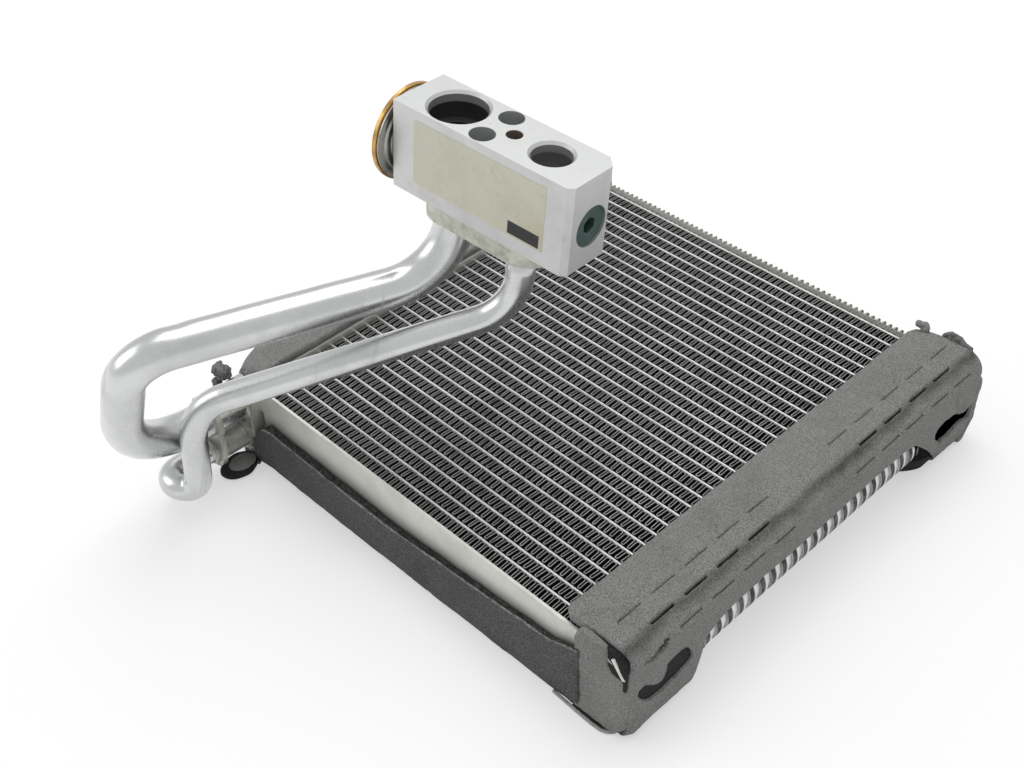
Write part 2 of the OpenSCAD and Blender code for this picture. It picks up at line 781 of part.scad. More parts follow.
module head_inner_shell() {
    hole = rod_r + 0.7;
    color([0.66, 0.65, 0.62]) turned_head([
        [stem_l, hole], [stem_l, stem_r], [0, stem_r], [0, stem_r + 3.4],
        [-0.7, stem_r + 3.4], [-0.9, head_r - 7.6], [-1.6, head_r - 6.6],
        [-1.7, head_r - 4.6], [-2.3, head_r - 3.8], [-2.4, head_r - 2.2],
        [-2.6, head_r - 1.4], [-2.6, head_r - 0.8], [-head_x, head_r - 0.8],
        [-head_x, head_r - 3], [-2.7, head_r - 5.2], [-1.9, head_r - 8.8],
        [-1.2, pad_r + 0.6], [-1.2, hole]]);
}

module head_outer_shell() {
    x0 = -head_x - diaphragm_t;
    color([0.72, 0.52, 0.2]) turned_head([
        [x0, head_r - 0.3], [x0 - 0.3, head_r], [x0 - 1.7, head_r],
        [x0 - 2.1, head_r - 0.5], [x0 - 2.2, head_r - 2.4], [x0 - 5, head_r - 6],
        [x0 - 6.4, head_r - 10.5], [x0 - 6.8, 4], [x0 - 6.8, 1.5], [x0 - 5.7, 1.5],
        [x0 - 5.7, 4], [x0 - 5.4, head_r - 10.5], [x0 - 3.9, head_r - 6.6],
        [x0 - 0.9, head_r - 3.6], [x0, head_r - 3.2]]);
}

module diaphragm() {
    color([0.6, 0.6, 0.62]) along_valve(-head_x - diaphragm_t)
        cylinder(h = diaphragm_t, r = head_r - 1);
}

module diaphragm_pad() {
    color([0.7, 0.7, 0.7]) along_valve(-head_x) cylinder(h = pad_t, r = pad_r);
}

module charge_plug() {
    color([0.7, 0.45, 0.3]) along_valve(-head_x - diaphragm_t - 9.3) {
        cylinder(h = 4, r = 1.5 - pipe_clear);
        cylinder(h = 2.4, r = 2.6);
    }
}

module sensing_rod() {
    x0 = pad_t - head_x;
    tip = ball_x - ball_r - eps;
    shoulder = seat_x - orifice_l - 1.5;
    color([0.75, 0.76, 0.78]) {
        along_valve(x0) cylinder(h = shoulder - x0, r = rod_r);
        along_valve(shoulder) cylinder(h = tip - shoulder, r = pin_r);
    }
}

module rod_seal() {
    color([0.1, 0.1, 0.1]) along_valve(suction_x + suction_bore_r + 2.2) rotate_extrude()
        translate([rod_r + rod_clear + rod_seal_r, 0]) circle(rod_seal_r);
}

module valve_ball() {
    color([0.8, 0.8, 0.82]) along_valve(ball_x) sphere(ball_r);
}

// A cup behind the ball, with a collar that the spring pushes on
module ball_carrier() {
    color([0.78, 0.66, 0.4]) difference() {
        union() {
            along_valve(carrier_x) cylinder(h = carrier_l / 2, r = carrier_r);
            along_valve(carrier_x) cylinder(h = carrier_l, r = spring_r - wire_r - 0.1);
        }
        along_valve(ball_x) sphere(ball_r + eps);
    }
}

// A round wire wound as a helix, one ring of wire points for each step
module valve_spring() {
    steps = 16 * spring_turns;
    sides = 8;
    x0 = carrier_x + carrier_l / 2 + wire_r + eps;
    span = plug_x - wire_r - eps - x0;
    points = [for (i = [0 : steps], j = [0 : sides - 1])
        let (t = i / steps, turn = 360 * spring_turns * t, a = 360 * j / sides,
            r = spring_r + wire_r * cos(a))
        [r * cos(turn), r * sin(turn), span * t + wire_r * sin(a)]];
    walls = [for (i = [0 : steps - 1], j = [0 : sides - 1])
        [i * sides + j, (i + 1) * sides + j,
            (i + 1) * sides + (j + 1) % sides, i * sides + (j + 1) % sides]];
    ends = [[for (j = [0 : sides - 1]) j],
        [for (j = [sides - 1 : -1 : 0]) steps * sides + j]];
    color([0.45, 0.46, 0.48]) along_valve(x0)
        polyhedron(points = points, faces = concat(walls, ends));
}

module adjusting_plug() {
    color([0.33, 0.42, 0.4]) along_valve(plug_x) socket_head(plug_r, plug_l, plug_key, plug_key_d);
}

module valve_label() {
    flat_l = label_l - 2 * label_r;
    flat_h = label_h - 2 * label_r;
    color([0.86, 0.84, 0.74]) at_valve()
        translate([label_x + label_l / 2, -valve_w / 2, 1 - valve_h / 2]) rotate([90, 0, 0])
            linear_extrude(height = label_t) {
                square([label_l, flat_h], center = true);
                square([flat_l, label_h], center = true);
                for (x = [-flat_l / 2, flat_l / 2], z = [-flat_h / 2, flat_h / 2])
                    translate([x, z]) circle(label_r);
            }
}

// Foam

// Rectangle with one rounded corner at its far upper end
module round_corner(u0, z0, u1, z1, r) {
    translate([u0, z0]) square([u1 - u0 - r, z1 - z0]);
    translate([u0, z0]) square([u1 - u0, z1 - z0 - r]);
    intersection() {
        translate([u1 - r, z1 - r]) circle(r);
        translate([u0, z0]) square([u1 - u0 + cut, z1 - z0 + cut]);
    }
}

module foam_wrap(u0, drop) {
    difference() {
        round_corner(u0, -drop, foam_out_u, foam_out_z, foam_bend);
        round_corner(u0 - cut, -drop - cut, foam_in_u, foam_in_z, foam_bend - foam_t);
    }
}

module foam_floor(u0) {
    translate([u0, floor_z]) square([foam_out_u - u0, foam_t]);
}

module foam_lobe(side, u0, y0, y1) {
    header_section(side, y0, y1) {
        foam_wrap(u0, core_depth + foam_out_z);
        foam_floor(foam_out_u - foam_under);
    }
}

// A row of slits along the return header: a near and a far group
module slit_row(u, z, w, near, far, count) {
    in_frame() for (i = [0 : count - 1], first = [near, far])
        translate([fin_length + u - w / 2, first + i * slit_pitch, z - foam_t])
            cube([w, slit_l, 2 * foam_t]);
}

module return_foam() {
    y0 = -foam_end_y;
    y1 = last_tube_y + foam_end_y;
    color([0.33, 0.33, 0.33]) difference() {
        union() {
            header_section(1, y0, y1) {
                foam_wrap(header_gap, foam_drop);
                translate([-foam_lip, foam_clear])
                    square([foam_lip + header_gap - foam_clear, foam_out_z - foam_clear]);
                translate([0, foam_in_z]) square([tank_u, foam_t]);
            }
            foam_lobe(1, header_gap, y0, y0 + lobe_l);
            foam_lobe(1, header_gap, y1 - lobe_l, y1);
            header_section(1, y0, y0 + foam_t) end_flap();
            header_section(1, y1 - foam_t, y1) end_flap();
        }
        slit_row(8.4, foam_out_z, slit_thin_w, 2.4, slit_far[0], 5);
        slit_row(16.8, foam_out_z, slit_w, 10.6, slit_far[1], 4);
        slit_row(foam_out_u - 1.9, 0.5, slit_thin_w, 19, slit_far[2], 4);
    }
}

module end_flap() {
    round_corner(header_gap, floor_z, foam_out_u, foam_out_z, foam_bend);
}

module inlet_foam() {
    y0 = 0;
    y1 = last_tube_y + foam_end_y;
    color([0.4, 0.4, 0.4]) {
        foam_lobe(-1, foam_set_back, y0, y1);
        header_section(-1, y1 - foam_t, y1) {
            end_flap();
            mirror([1, 0]) round_corner(-header_gap - eps, -2 * flap_reach, flap_reach,
                foam_out_z, foam_bend - eps);
        }
    }
}

// A strip on the near side plate that folds under the core
module side_foam() {
    y_out = -side_in_y - side_t - foam_clear - side_foam_t;
    x1 = fin_length + header_gap - foam_clear;
    color([0.2, 0.2, 0.2]) in_frame() translate([0, y_out, 0]) {
        translate([0, 0, floor_z]) cube([x1, side_foam_t, -floor_z - side_foam_top]);
        translate([0, 0, floor_z])
            cube([x1, side_foam_under, foam_out_z - foam_clear]);
    }
}

// A short black strip round the lower chamber's end
module inlet_end_pad() {
    r = chamber_out + foam_clear;
    color([0.08, 0.08, 0.08])
        header_section(-1, tank_end_y + 1, tank_end_y + 1 + pad_l) intersection() {
            difference() {
                translate([chamber_u, lower_z]) circle(r + foam_t);
                translate([chamber_u, lower_z]) circle(r);
            }
            translate([tank_u + header_rim + 1, floor_z])
                square([tank_depth + foam_t, lower_z - floor_z]);
        }
}

tubes_upper();
tubes_lower();
fins();
side_plate_near();
side_plate_far();
inlet_header_plate();
inlet_tank();
inlet_tank_caps();
inlet_baffles();
return_header_plate();
return_tank();
return_tank_caps();
suction_pipe();
liquid_pipe();
liquid_sleeve();
pipe_tie_plate();
flange_plate();
flange_bolts();
suction_seal();
liquid_seal();
valve_body();
head_inner_shell();
head_outer_shell();
diaphragm();
diaphragm_pad();
sensing_rod();
rod_seal();
valve_ball();
ball_carrier();
valve_spring();
adjusting_plug();
charge_plug();
valve_label();
return_foam();
side_foam();
inlet_foam();
inlet_end_pad();
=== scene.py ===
"""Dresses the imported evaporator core: fins at their real pitch, drawn pipes, foam trim and finishes."""
import logging
import math
from dataclasses import dataclass
from enum import Enum
from typing import Callable, Optional, Sequence

import bmesh
import bpy
from mathutils import Matrix, Vector, noise


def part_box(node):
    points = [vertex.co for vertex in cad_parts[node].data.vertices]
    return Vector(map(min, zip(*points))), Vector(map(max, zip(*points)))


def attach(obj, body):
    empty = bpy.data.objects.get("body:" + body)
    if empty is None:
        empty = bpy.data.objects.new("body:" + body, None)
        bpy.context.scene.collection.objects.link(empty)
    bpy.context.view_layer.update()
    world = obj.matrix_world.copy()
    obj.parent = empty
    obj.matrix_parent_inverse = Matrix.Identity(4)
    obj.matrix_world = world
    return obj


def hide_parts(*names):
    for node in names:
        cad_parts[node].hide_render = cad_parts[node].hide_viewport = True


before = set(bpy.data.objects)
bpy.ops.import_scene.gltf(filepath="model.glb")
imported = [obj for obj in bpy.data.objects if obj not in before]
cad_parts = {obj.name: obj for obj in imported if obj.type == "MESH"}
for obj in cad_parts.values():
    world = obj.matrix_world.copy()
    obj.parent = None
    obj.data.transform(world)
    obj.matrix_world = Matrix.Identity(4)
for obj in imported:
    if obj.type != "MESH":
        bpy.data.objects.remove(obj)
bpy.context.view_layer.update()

LOG = logging.getLogger("evaporator")
MM = 0.001
BODY = "core"
MERGE_MM = 1e-4
ON_PLANE_MM = 1e-5
Colour = tuple[float, float, float]
Place = tuple[float, float, float]
Line = tuple[tuple[float, float], ...]
Verts = Sequence[bmesh.types.BMVert]
# How far points move, the size of the bumps and the number of the pattern.
Ripple = tuple[float, float, float]


class Axis(Enum):
    """Row axes, as places in a coordinate."""

    X = 0
    Y = 1
    Z = 2


# Places


@dataclass(frozen=True)
class CoreSpace:
    """Turns core coordinates in millimetres into the row frame in metres.

    X is 0 where the fins start, Y is 0 at the first tube and Z is 0 at the core's upper face.
    """

    strip_half: float = 2.88
    tube_pitch: float = 7.0
    core_depth: float = 38.0

    def matrix(self) -> Matrix:
        """Core millimetres to row metres."""
        low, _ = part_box("fins")
        start = low + Vector((0, self.tube_pitch / 2 + self.strip_half, self.core_depth)) * MM
        return Matrix.Translation(start) @ Matrix.Scale(MM, 4)

    def point(self, x: float, y: float, z: float) -> Vector:
        """A core point in the row frame."""
        return self.matrix() @ Vector((x, y, z))


@dataclass(frozen=True)
class ValveSpace:
    """The valve block's own frame in core millimetres: head end, middle line, upper face."""

    origin: Place = (47.2, 58.6, 140.4)
    lean: float = -2.8
    dip: float = 3.7
    yaw: float = 4.2

    def matrix(self) -> Matrix:
        """Valve millimetres to core millimetres."""
        turn = (Matrix.Rotation(math.radians(self.yaw), 4, "Z")
                @ Matrix.Rotation(math.radians(self.dip), 4, "Y")
                @ Matrix.Rotation(math.radians(self.lean), 4, "X"))
        return Matrix.Translation(self.origin) @ turn

    def point(self, x: float, y: float, z: float) -> Vector:
        """A valve point in core millimetres."""
        return self.matrix() @ Vector((x, y, z))


CORE = CoreSpace()
VALVE = ValveSpace()


def frame_along(point: Vector, direction: Vector) -> Matrix:
    """A placement whose Z runs along a direction.

    Args:
        point: where the placement's origin lies.
        direction: where its Z axis points.

    Returns:
        The placement.
    """
    turn = direction.to_track_quat("Z", "Y").to_matrix().to_4x4()
    return Matrix.Translation(point) @ turn


# Shader tools


class SocketExpr:
    """A shader socket that takes part in Python arithmetic."""

    def __init__(self, recipe: "Recipe", socket: bpy.types.NodeSocket) -> None:
        """Wraps a socket of a recipe's tree."""
        self.recipe = recipe
        self.socket = socket

    def math(self, operation: str, *others: "SocketExpr | float", clamp: bool = False) -> "SocketExpr":
        """Adds one Math node.

        Args:
            operation: the node's operation.
            others: its second and third values.
            clamp: whether the result is kept between 0 and 1.

        Returns:
            The result.
        """
        values = {i: v for i, v in enumerate((self, *others))}
        made = self.recipe.node("ShaderNodeMath", {"operation": operation, "use_clamp": clamp}, values)
        return SocketExpr(self.recipe, made.outputs[0])

    def __add__(self, other: "SocketExpr | float") -> "SocketExpr":
        """Sum."""
        return self.math("ADD", other)

    __radd__ = __add__

    def __mul__(self, other: "SocketExpr | float") -> "SocketExpr":
        """Product."""
        return self.math("MULTIPLY", other)

    __rmul__ = __mul__

    def __sub__(self, other: "SocketExpr | float") -> "SocketExpr":
        """Difference."""
        return self.math("SUBTRACT", other)

    def __rsub__(self, other: float) -> "SocketExpr":
        """Difference from a number."""
        return (self * -1.0) + other

    def __pow__(self, other: float) -> "SocketExpr":
        """Power."""
        return self.math("POWER", other)

    def above(self, edge: float, width: float) -> "SocketExpr":
        """A soft step up.

        Args:
            edge: where the step begins.
            width: how far it takes to reach 1.

        Returns:
            0 below the edge, 1 past the step.
        """
        return ((self - edge) * (1.0 / width)).math("MULTIPLY", 1.0, clamp=True)

    def between(self, low: float, high: float, width: float) -> "SocketExpr":
        """A soft band from low to high."""
        return self.above(low, width) * (1.0 - self.above(high - width, width))


class Recipe:
    """One material's node tree, around one Principled shader."""

    def __init__(self, name: str) -> None:
        """Starts an empty tree with a shader and an output."""
        self.material = bpy.data.materials.new(name)
        self.material.use_nodes = True
        self.tree = self.material.node_tree
        self.tree.nodes.clear()
        self.shader = self.node("ShaderNodeBsdfPrincipled")
        self.node("ShaderNodeOutputMaterial", None, {"Surface": self.shader.outputs["BSDF"]})
        self.place = self.node("ShaderNodeTexCoord").outputs["Object"]

    def node(self, kind: str, settings: Optional[dict] = None,
             inputs: Optional[dict] = None) -> bpy.types.ShaderNode:
        """Adds a node.

        Args:
            kind: the node's type name.
            settings: its properties, which are set first.
            inputs: values or links by input name or number.

        Returns:
            The node.
        """
        made = self.tree.nodes.new(kind)
        for key, value in (settings or {}).items():
            setattr(made, key, value)
        for key, value in (inputs or {}).items():
            self.put(made.inputs[key], value)
        return made

    def put(self, socket: bpy.types.NodeSocket, value: object) -> None:
        """Links or sets one socket."""
        if isinstance(value, SocketExpr):
            value = value.socket
        if isinstance(value, bpy.types.NodeSocket):
            self.tree.links.new(value, socket)
        elif isinstance(value, tuple) and socket.type == "RGBA":
            socket.default_value = (*value, 1.0) if len(value) == 3 else value
        else:
            socket.default_value = value

    def axis(self, axis: Axis) -> SocketExpr:
        """One coordinate of the surface, in row metres."""
        split = self.node("ShaderNodeSeparateXYZ", None, {0: self.place})
        return SocketExpr(self, split.outputs[axis.value])

    def stretched(self, scale: tuple[float, float, float],
                  turn: tuple[float, float, float] = (0, 0, 0)) -> bpy.types.NodeSocket:
        """Coordinates turned and then stretched, for grain that runs one way."""
        made = self.node("ShaderNodeMapping", {"vector_type": "TEXTURE"},
                         {"Vector": self.place, "Rotation": turn, "Scale": scale})
        return made.outputs[0]

    def noise(self, scale: float, detail: float = 3.0, roughness: float = 0.55,
              vector: Optional[bpy.types.NodeSocket] = None) -> SocketExpr:
        """Smooth noise from 0 to 1, with its scale per metre."""
        made = self.node("ShaderNodeTexNoise", None, {
            "Vector": vector or self.place, "Scale": scale, "Detail": detail,
            "Roughness": roughness})
        return SocketExpr(self, made.outputs[0])

    def cells(self, scale: float) -> SocketExpr:
        """Distance to the nearest cell, with its scale per metre."""
        made = self.node("ShaderNodeTexVoronoi", {"feature": "F1"},
                         {"Vector": self.place, "Scale": scale})
        return SocketExpr(self, made.outputs["Distance"])

    def mix(self, amount: "SocketExpr | float", first: object, second: object) -> bpy.types.NodeSocket:
        """A colour between two colours."""
        made = self.node("ShaderNodeMix", {"data_type": "RGBA"}, {0: amount, 6: first, 7: second})
        return made.outputs[2]

    def bump(self, height: SocketExpr, strength: float, distance: float) -> None:
        """Gives the shader a bump of a height in metres."""
        made = self.node("ShaderNodeBump", None,
                         {"Height": height, "Strength": strength, "Distance": distance})
        self.put(self.shader.inputs["Normal"], made.outputs[0])

    def surface(self, **values: object) -> None:
        """Sets the shader's inputs, with _ for a space in each name."""
        for key, value in values.items():
            self.put(self.shader.inputs[key.replace("_", " ")], value)


# Finishes


@dataclass(frozen=True)
class DrawnMetal:
    """Bright metal with a fine grain, dull patches and scratches."""

    name: str
    colour: Colour
    stain: Colour
    roughness: float = 0.3
    patch_scale: float = 40.0
    patch_amount: float = 0.5
    scratch: float = 0.5
    grain: tuple[float, float, float] = (1.0, 1.0, 1.0)
    grain_scale: float = 900.0
    grain_depth: float = 0.00002
    metallic: float = 1.0
    scratch_scale: float = 260.0
    scratch_stretch: tuple[float, float, float] = (1.0, 14.0, 9.0)
    scratch_turn: tuple[float, float, float] = (0.5, 0.3, 0.9)
    nick_scale: float = 95.0
    bump_strength: float = 0.35

    def build(self) -> bpy.types.Material:
        """Makes the material."""
        recipe = Recipe(self.name)
        patches = recipe.noise(self.patch_scale, 5.0, 0.65).above(0.45, 0.25) * self.patch_amount
        fine = recipe.noise(self.grain_scale, 2.0, 0.6, recipe.stretched(self.grain))
        runs = recipe.stretched(self.scratch_stretch, self.scratch_turn)
        marks = recipe.noise(self.scratch_scale, 2.0, 0.5, runs).above(0.66, 0.05) * self.scratch
        nicks = (1.0 - recipe.cells(self.nick_scale).above(0.05, 0.05)) * self.scratch
        worn = (patches + marks * 0.5 + nicks * 0.6).math("MINIMUM", 1.0)
        recipe.surface(
            Base_Color=recipe.mix(worn, self.colour, self.stain),
            Roughness=(patches * 0.22 + marks * 0.15 + fine * 0.12 + (self.roughness - 0.06)),
            Metallic=self.metallic)
        recipe.bump(fine - marks * 0.5 - nicks, self.bump_strength, self.grain_depth)
        return recipe.material


@dataclass(frozen=True)
class BlockFinish:
    """Milled metal of the valve, with painted shade in its drillings and a painted shadow in the joint
    under it.
    """

    name: str = "block_metal"
    colour: Colour = (0.62, 0.625, 0.62)
    stain: Colour = (0.5, 0.5, 0.47)
    roughness: float = 0.4
    patch_scale: float = 60.0
    # colour of the painted shade in the drillings and of the painted shadow at the joint
    dark: Colour = (0.03, 0.03, 0.032)
    copper: Colour = (0.3, 0.17, 0.11)
    wide_port: tuple[float, float, float] = (21.0, 11.7, -4.6)
    narrow_port: tuple[float, float, float] = (66.6, 7.95, -4.4)
    thread: tuple[float, float, float] = (48.6, 3.3, -0.6)
    wall_reach: float = 0.3
    ridges_per_mm: float = 1.6
    joint_z: float = -38.0
    joint_height: float = 1.0
    shadow_start_x: float = 8.0
    shadow_run: float = 60.0
    shadow_strength: float = 1.6
    patch_amount: float = 0.45
    nick_scale: float = 110.0
    nick_amount: float = 0.4
    grain_scale: float = 1500.0
    grain: tuple[float, float, float] = (14.0, 1.0, 1.0)
    grain_depth: float = 0.00002

    def local(self, recipe: Recipe) -> tuple[SocketExpr, SocketExpr, SocketExpr]:
        """The surface's place in the valve's own millimetres."""
        frame_of_valve = CORE.matrix() @ VALVE.matrix()
        found = []
        for axis in Axis:
            along_axis = frame_of_valve.to_3x3().col[axis.value].normalized()
            dot = recipe.node("ShaderNodeVectorMath", {"operation": "DOT_PRODUCT"},
                              {0: recipe.place, 1: tuple(along_axis)})
            start = along_axis.dot(frame_of_valve.translation)
            found.append((SocketExpr(recipe, dot.outputs["Value"]) - start) * (1.0 / MM))
        return tuple(found)

    def build(self) -> bpy.types.Material:
        """Makes the material."""
        recipe = Recipe(self.name)
        x, y, z = self.local(recipe)
        patches = recipe.noise(self.patch_scale, 5.0, 0.65).above(0.45, 0.25) * self.patch_amount
        nicks = (1.0 - recipe.cells(self.nick_scale).above(0.06, 0.05)) * self.nick_amount
        worn = (patches + nicks).math("MINIMUM", 1.0)

        def bore(middle: float, radius: float, depth: float) -> SocketExpr:
            """Share of a drilling's wall that lies below a depth."""
            away = ((x - middle) ** 2.0 + y ** 2.0) ** 0.5
            return (1.0 - away.above(radius + self.wall_reach, 0.1)) * (1.0 - z.above(depth, 0.5))

        ridges = (z * self.ridges_per_mm).math("FRACT").between(0.15, 0.65, 0.15)
        # painted shade down the walls of the wide and the narrow drilling; the thread gets a copper tint
        deep = bore(*self.wide_port) * (0.93 - ridges * 0.12)
        shallow = bore(*self.narrow_port) * (0.62 - ridges * 0.25)
        thread = bore(*self.thread) * (0.4 + ridges * 0.5)
        # painted shadow in the joint under the block, widening along x
        gap = z.above(self.joint_z - self.joint_height, 0.2) * (1.0 - z.above(self.joint_z - 0.05, 0.1))
        gap = gap * x.above(self.shadow_start_x, self.shadow_run) * self.shadow_strength
        metal = recipe.mix(worn, self.colour, self.stain)
        tinted = recipe.mix(thread, metal, self.copper)
        shade = (deep + shallow + gap).math("MINIMUM", 1.0)
        fine = recipe.noise(self.grain_scale, 2.0, 0.6, recipe.stretched(self.grain))
        recipe.surface(Base_Color=recipe.mix(shade, tinted, self.dark),
                       Roughness=patches * 0.2 + fine * 0.12 + (self.roughness - 0.06),
                       Metallic=0.85)
        recipe.bump(fine - nicks, 0.35, self.grain_depth)
        return recipe.material


@dataclass(frozen=True)
class FinFinish:
    """Fin sheet: its own colour in a thin band at both faces of the core, painted shade deeper inside it,
    and painted light on the outermost strip.
    """

    name: str = "fin_metal"
    edge: Colour = (0.34, 0.34, 0.325)
    stain: Colour = (0.13, 0.135, 0.125)
    # colour of the painted shade deep between the fins
    inside: Colour = (0.012, 0.012, 0.012)
    # pale colour painted on the outermost strip, standing in for the light on its open side
    outermost: Colour = (0.78, 0.79, 0.76)
    reach: float = 0.00016
    outermost_y: float = 218.0
    blend: float = 0.0004
    fine_worn: float = 180.0
    broad_worn: float = 42.0

    def build(self) -> bpy.types.Material:
        """Makes the material."""
        recipe = Recipe(self.name)
        height = recipe.axis(Axis.Z)
        top, bottom = (CORE.point(0, 0, z).z for z in (FinPack.top, FinPack.bottom))
        # the fins' own colour only within a thin band at the top and bottom faces; deeper down, painted
        # shade
        lit = (height.above(top - self.reach * 2, self.reach)
               + (1.0 - height.above(bottom + self.reach, self.reach)))
        worn = (recipe.noise(self.fine_worn, 4.0, 0.65).above(0.42, 0.25) * 0.65
                + recipe.noise(self.broad_worn, 3.0, 0.6).above(0.5, 0.2) * 0.3)
        # painted light on the outermost strip
        outer = recipe.axis(Axis.Y).above(CORE.point(0, self.outermost_y, 0).y, self.blend)
        edge = recipe.mix(worn.math("MINIMUM", 1.0), self.edge, self.stain)
        folded = recipe.mix(lit, self.inside, edge)
        recipe.surface(Base_Color=recipe.mix(outer, folded, self.outermost),
                       Roughness=worn * 0.2 + 0.45, Metallic=0.3)
        return recipe.material


@dataclass(frozen=True)
class RibbedFinish:
    """Tank metal with painted shade in its pressed grooves, at the ribs' own pitch along Y."""

    name: str = "ribbed_metal"
    colour: Colour = (0.80, 0.80, 0.79)
    stain: Colour = (0.5, 0.5, 0.48)
    groove_shade: Colour = (0.04, 0.042, 0.042)
    pitch: float = 7.0
    groove_y: float = 4.6
    share: float = 0.52
    pitches_before: int = 70
    wander_scale: float = 120.0
    wander: float = 0.12
    grain_scale: float = 700.0
    grain_depth: float = 0.00004

    def build(self) -> bpy.types.Material:
        """Makes the material."""
        recipe = Recipe(self.name)
        start = CORE.point(0, self.groove_y - self.pitches_before * self.pitch, 0).y
        along = (recipe.axis(Axis.Y) - start) * (1.0 / (self.pitch * MM))
        wander = recipe.noise(self.wander_scale, 3.0, 0.6) * self.wander - self.wander / 2
        # painted shade in the grooves between the ribs
        groove = (along + wander).math("FRACT").between(0.0, self.share, 0.10)
        worn = recipe.noise(300.0, 4.0, 0.7).above(0.45, 0.25)
        metal = recipe.mix(worn * 0.35, self.colour, self.stain)
        recipe.surface(Base_Color=recipe.mix(groove * (1.0 - worn * 0.2), metal, self.groove_shade),
                       Roughness=groove * 0.2 + 0.4, Metallic=0.55)
        recipe.bump(recipe.noise(self.grain_scale, 2.0, 0.6), 0.3, self.grain_depth)
        return recipe.material


@dataclass(frozen=True)
class FoamFinish:
    """Open foam with pores, pale dust and darker rubbed patches."""

    name: str
    colour: Colour
    # colour of the dust specks, and of the painted highlights on a ledge strip's edges
    dust: Colour
    shade: Colour
    pore_scale: float = 1500.0
    mottle: float = 0.5
    band: Optional[tuple[float, float]] = None
    ledge: bool = False
    cloud_scale: float = 45.0
    band_wander_scale: float = 70.0
    band_wander: float = 0.004
    band_blend: float = 0.003
    blotch_scale: float = 420.0
    rim_scale: float = 500.0
    rim_height: float = 0.972
    foot_height: float = 0.015
    specular: float = 0.25
    grain_depth: float = 0.0003

    def ledges(self, recipe: Recipe) -> tuple[SocketExpr, SocketExpr]:
        """Dark top of a strip, and painted highlights along its outer top edge and its foot, by the
        strip's own map.
        """
        strip = recipe.node("ShaderNodeUVMap", {"uv_map": "strip"}).outputs[0]
        split = recipe.node("ShaderNodeSeparateXYZ", None, {0: strip})
        out, height = (SocketExpr(recipe, split.outputs[i]) for i in (0, 1))
        blotch = recipe.noise(self.blotch_scale, 4.0, 0.7).above(0.42, 0.16)
        top = height.above(self.rim_height, 0.012)
        dark = top * (1.0 - out.above(0.74, 0.1)) * (0.5 + blotch * 0.5)
        foot = out.above(0.7, 0.1) * (1.0 - height.above(self.foot_height, 0.015))
        # painted highlights along the outer top edge and the foot
        rims = top * out.above(0.76, 0.08) + foot
        return dark, rims * recipe.noise(self.rim_scale, 3.0, 0.7).above(0.3, 0.3) * 0.8

    def build(self) -> bpy.types.Material:
        """Makes the material."""
        recipe = Recipe(self.name)
        grain = recipe.noise(self.pore_scale, 3.0, 0.7)
        speck = recipe.noise(self.pore_scale * 1.7, 1.0, 0.5).above(0.6, 0.12)
        pores = 1.0 - recipe.cells(self.pore_scale * 0.8).above(0.22, 0.25)
        cloud = recipe.noise(self.cloud_scale, 4.0, 0.6)
        rubbed = cloud.above(0.48, 0.25) * self.mottle
        pale = speck * 0.55
        if self.band:
            wander = recipe.noise(self.band_wander_scale, 3.0, 0.6) * self.band_wander
            stripe = (recipe.axis(Axis.X) + wander).between(*self.band, self.band_blend)
            rubbed = rubbed + stripe * (0.3 + cloud * 0.75)
        if self.ledge:
            dark, rims = self.ledges(recipe)
            rubbed = rubbed + dark
            pale = (pale + rims).math("MINIMUM", 1.0)
        ground = recipe.mix(rubbed.math("MINIMUM", 1.0), self.colour, self.shade)
        # dust specks, and on a ledge strip also the painted highlights
        dust_and_highlight = recipe.mix(pale, ground, self.dust)
        recipe.surface(Base_Color=recipe.mix(pores * 0.55, dust_and_highlight, self.shade),
                       Roughness=grain * 0.15 + 0.82, Metallic=0.0)
        recipe.surface(Specular_IOR_Level=self.specular)
        recipe.bump(grain * 0.8 - pores, 0.7, self.grain_depth)
        return recipe.material


@dataclass(frozen=True)
class SmoothFinish:
    """Rubber, paint or anodised metal with a faint grain and dust."""

    name: str
    colour: Colour
    dust: Colour
    roughness: float = 0.5
    metallic: float = 0.0
    grain_scale: float = 1200.0
    grain_depth: float = 0.00003
    dust_scale: float = 140.0

    def build(self) -> bpy.types.Material:
        """Makes the material."""
        recipe = Recipe(self.name)
        grain = recipe.noise(self.grain_scale, 3.0, 0.6)
        dust = recipe.noise(self.dust_scale, 5.0, 0.7).above(0.5, 0.2)
        recipe.surface(Base_Color=recipe.mix(dust * 0.6, self.colour, self.dust),
                       Roughness=grain * 0.15 + dust * 0.12 + (self.roughness - 0.08),
                       Metallic=self.metallic)
        recipe.bump(grain, 0.25, self.grain_depth)
        return recipe.material


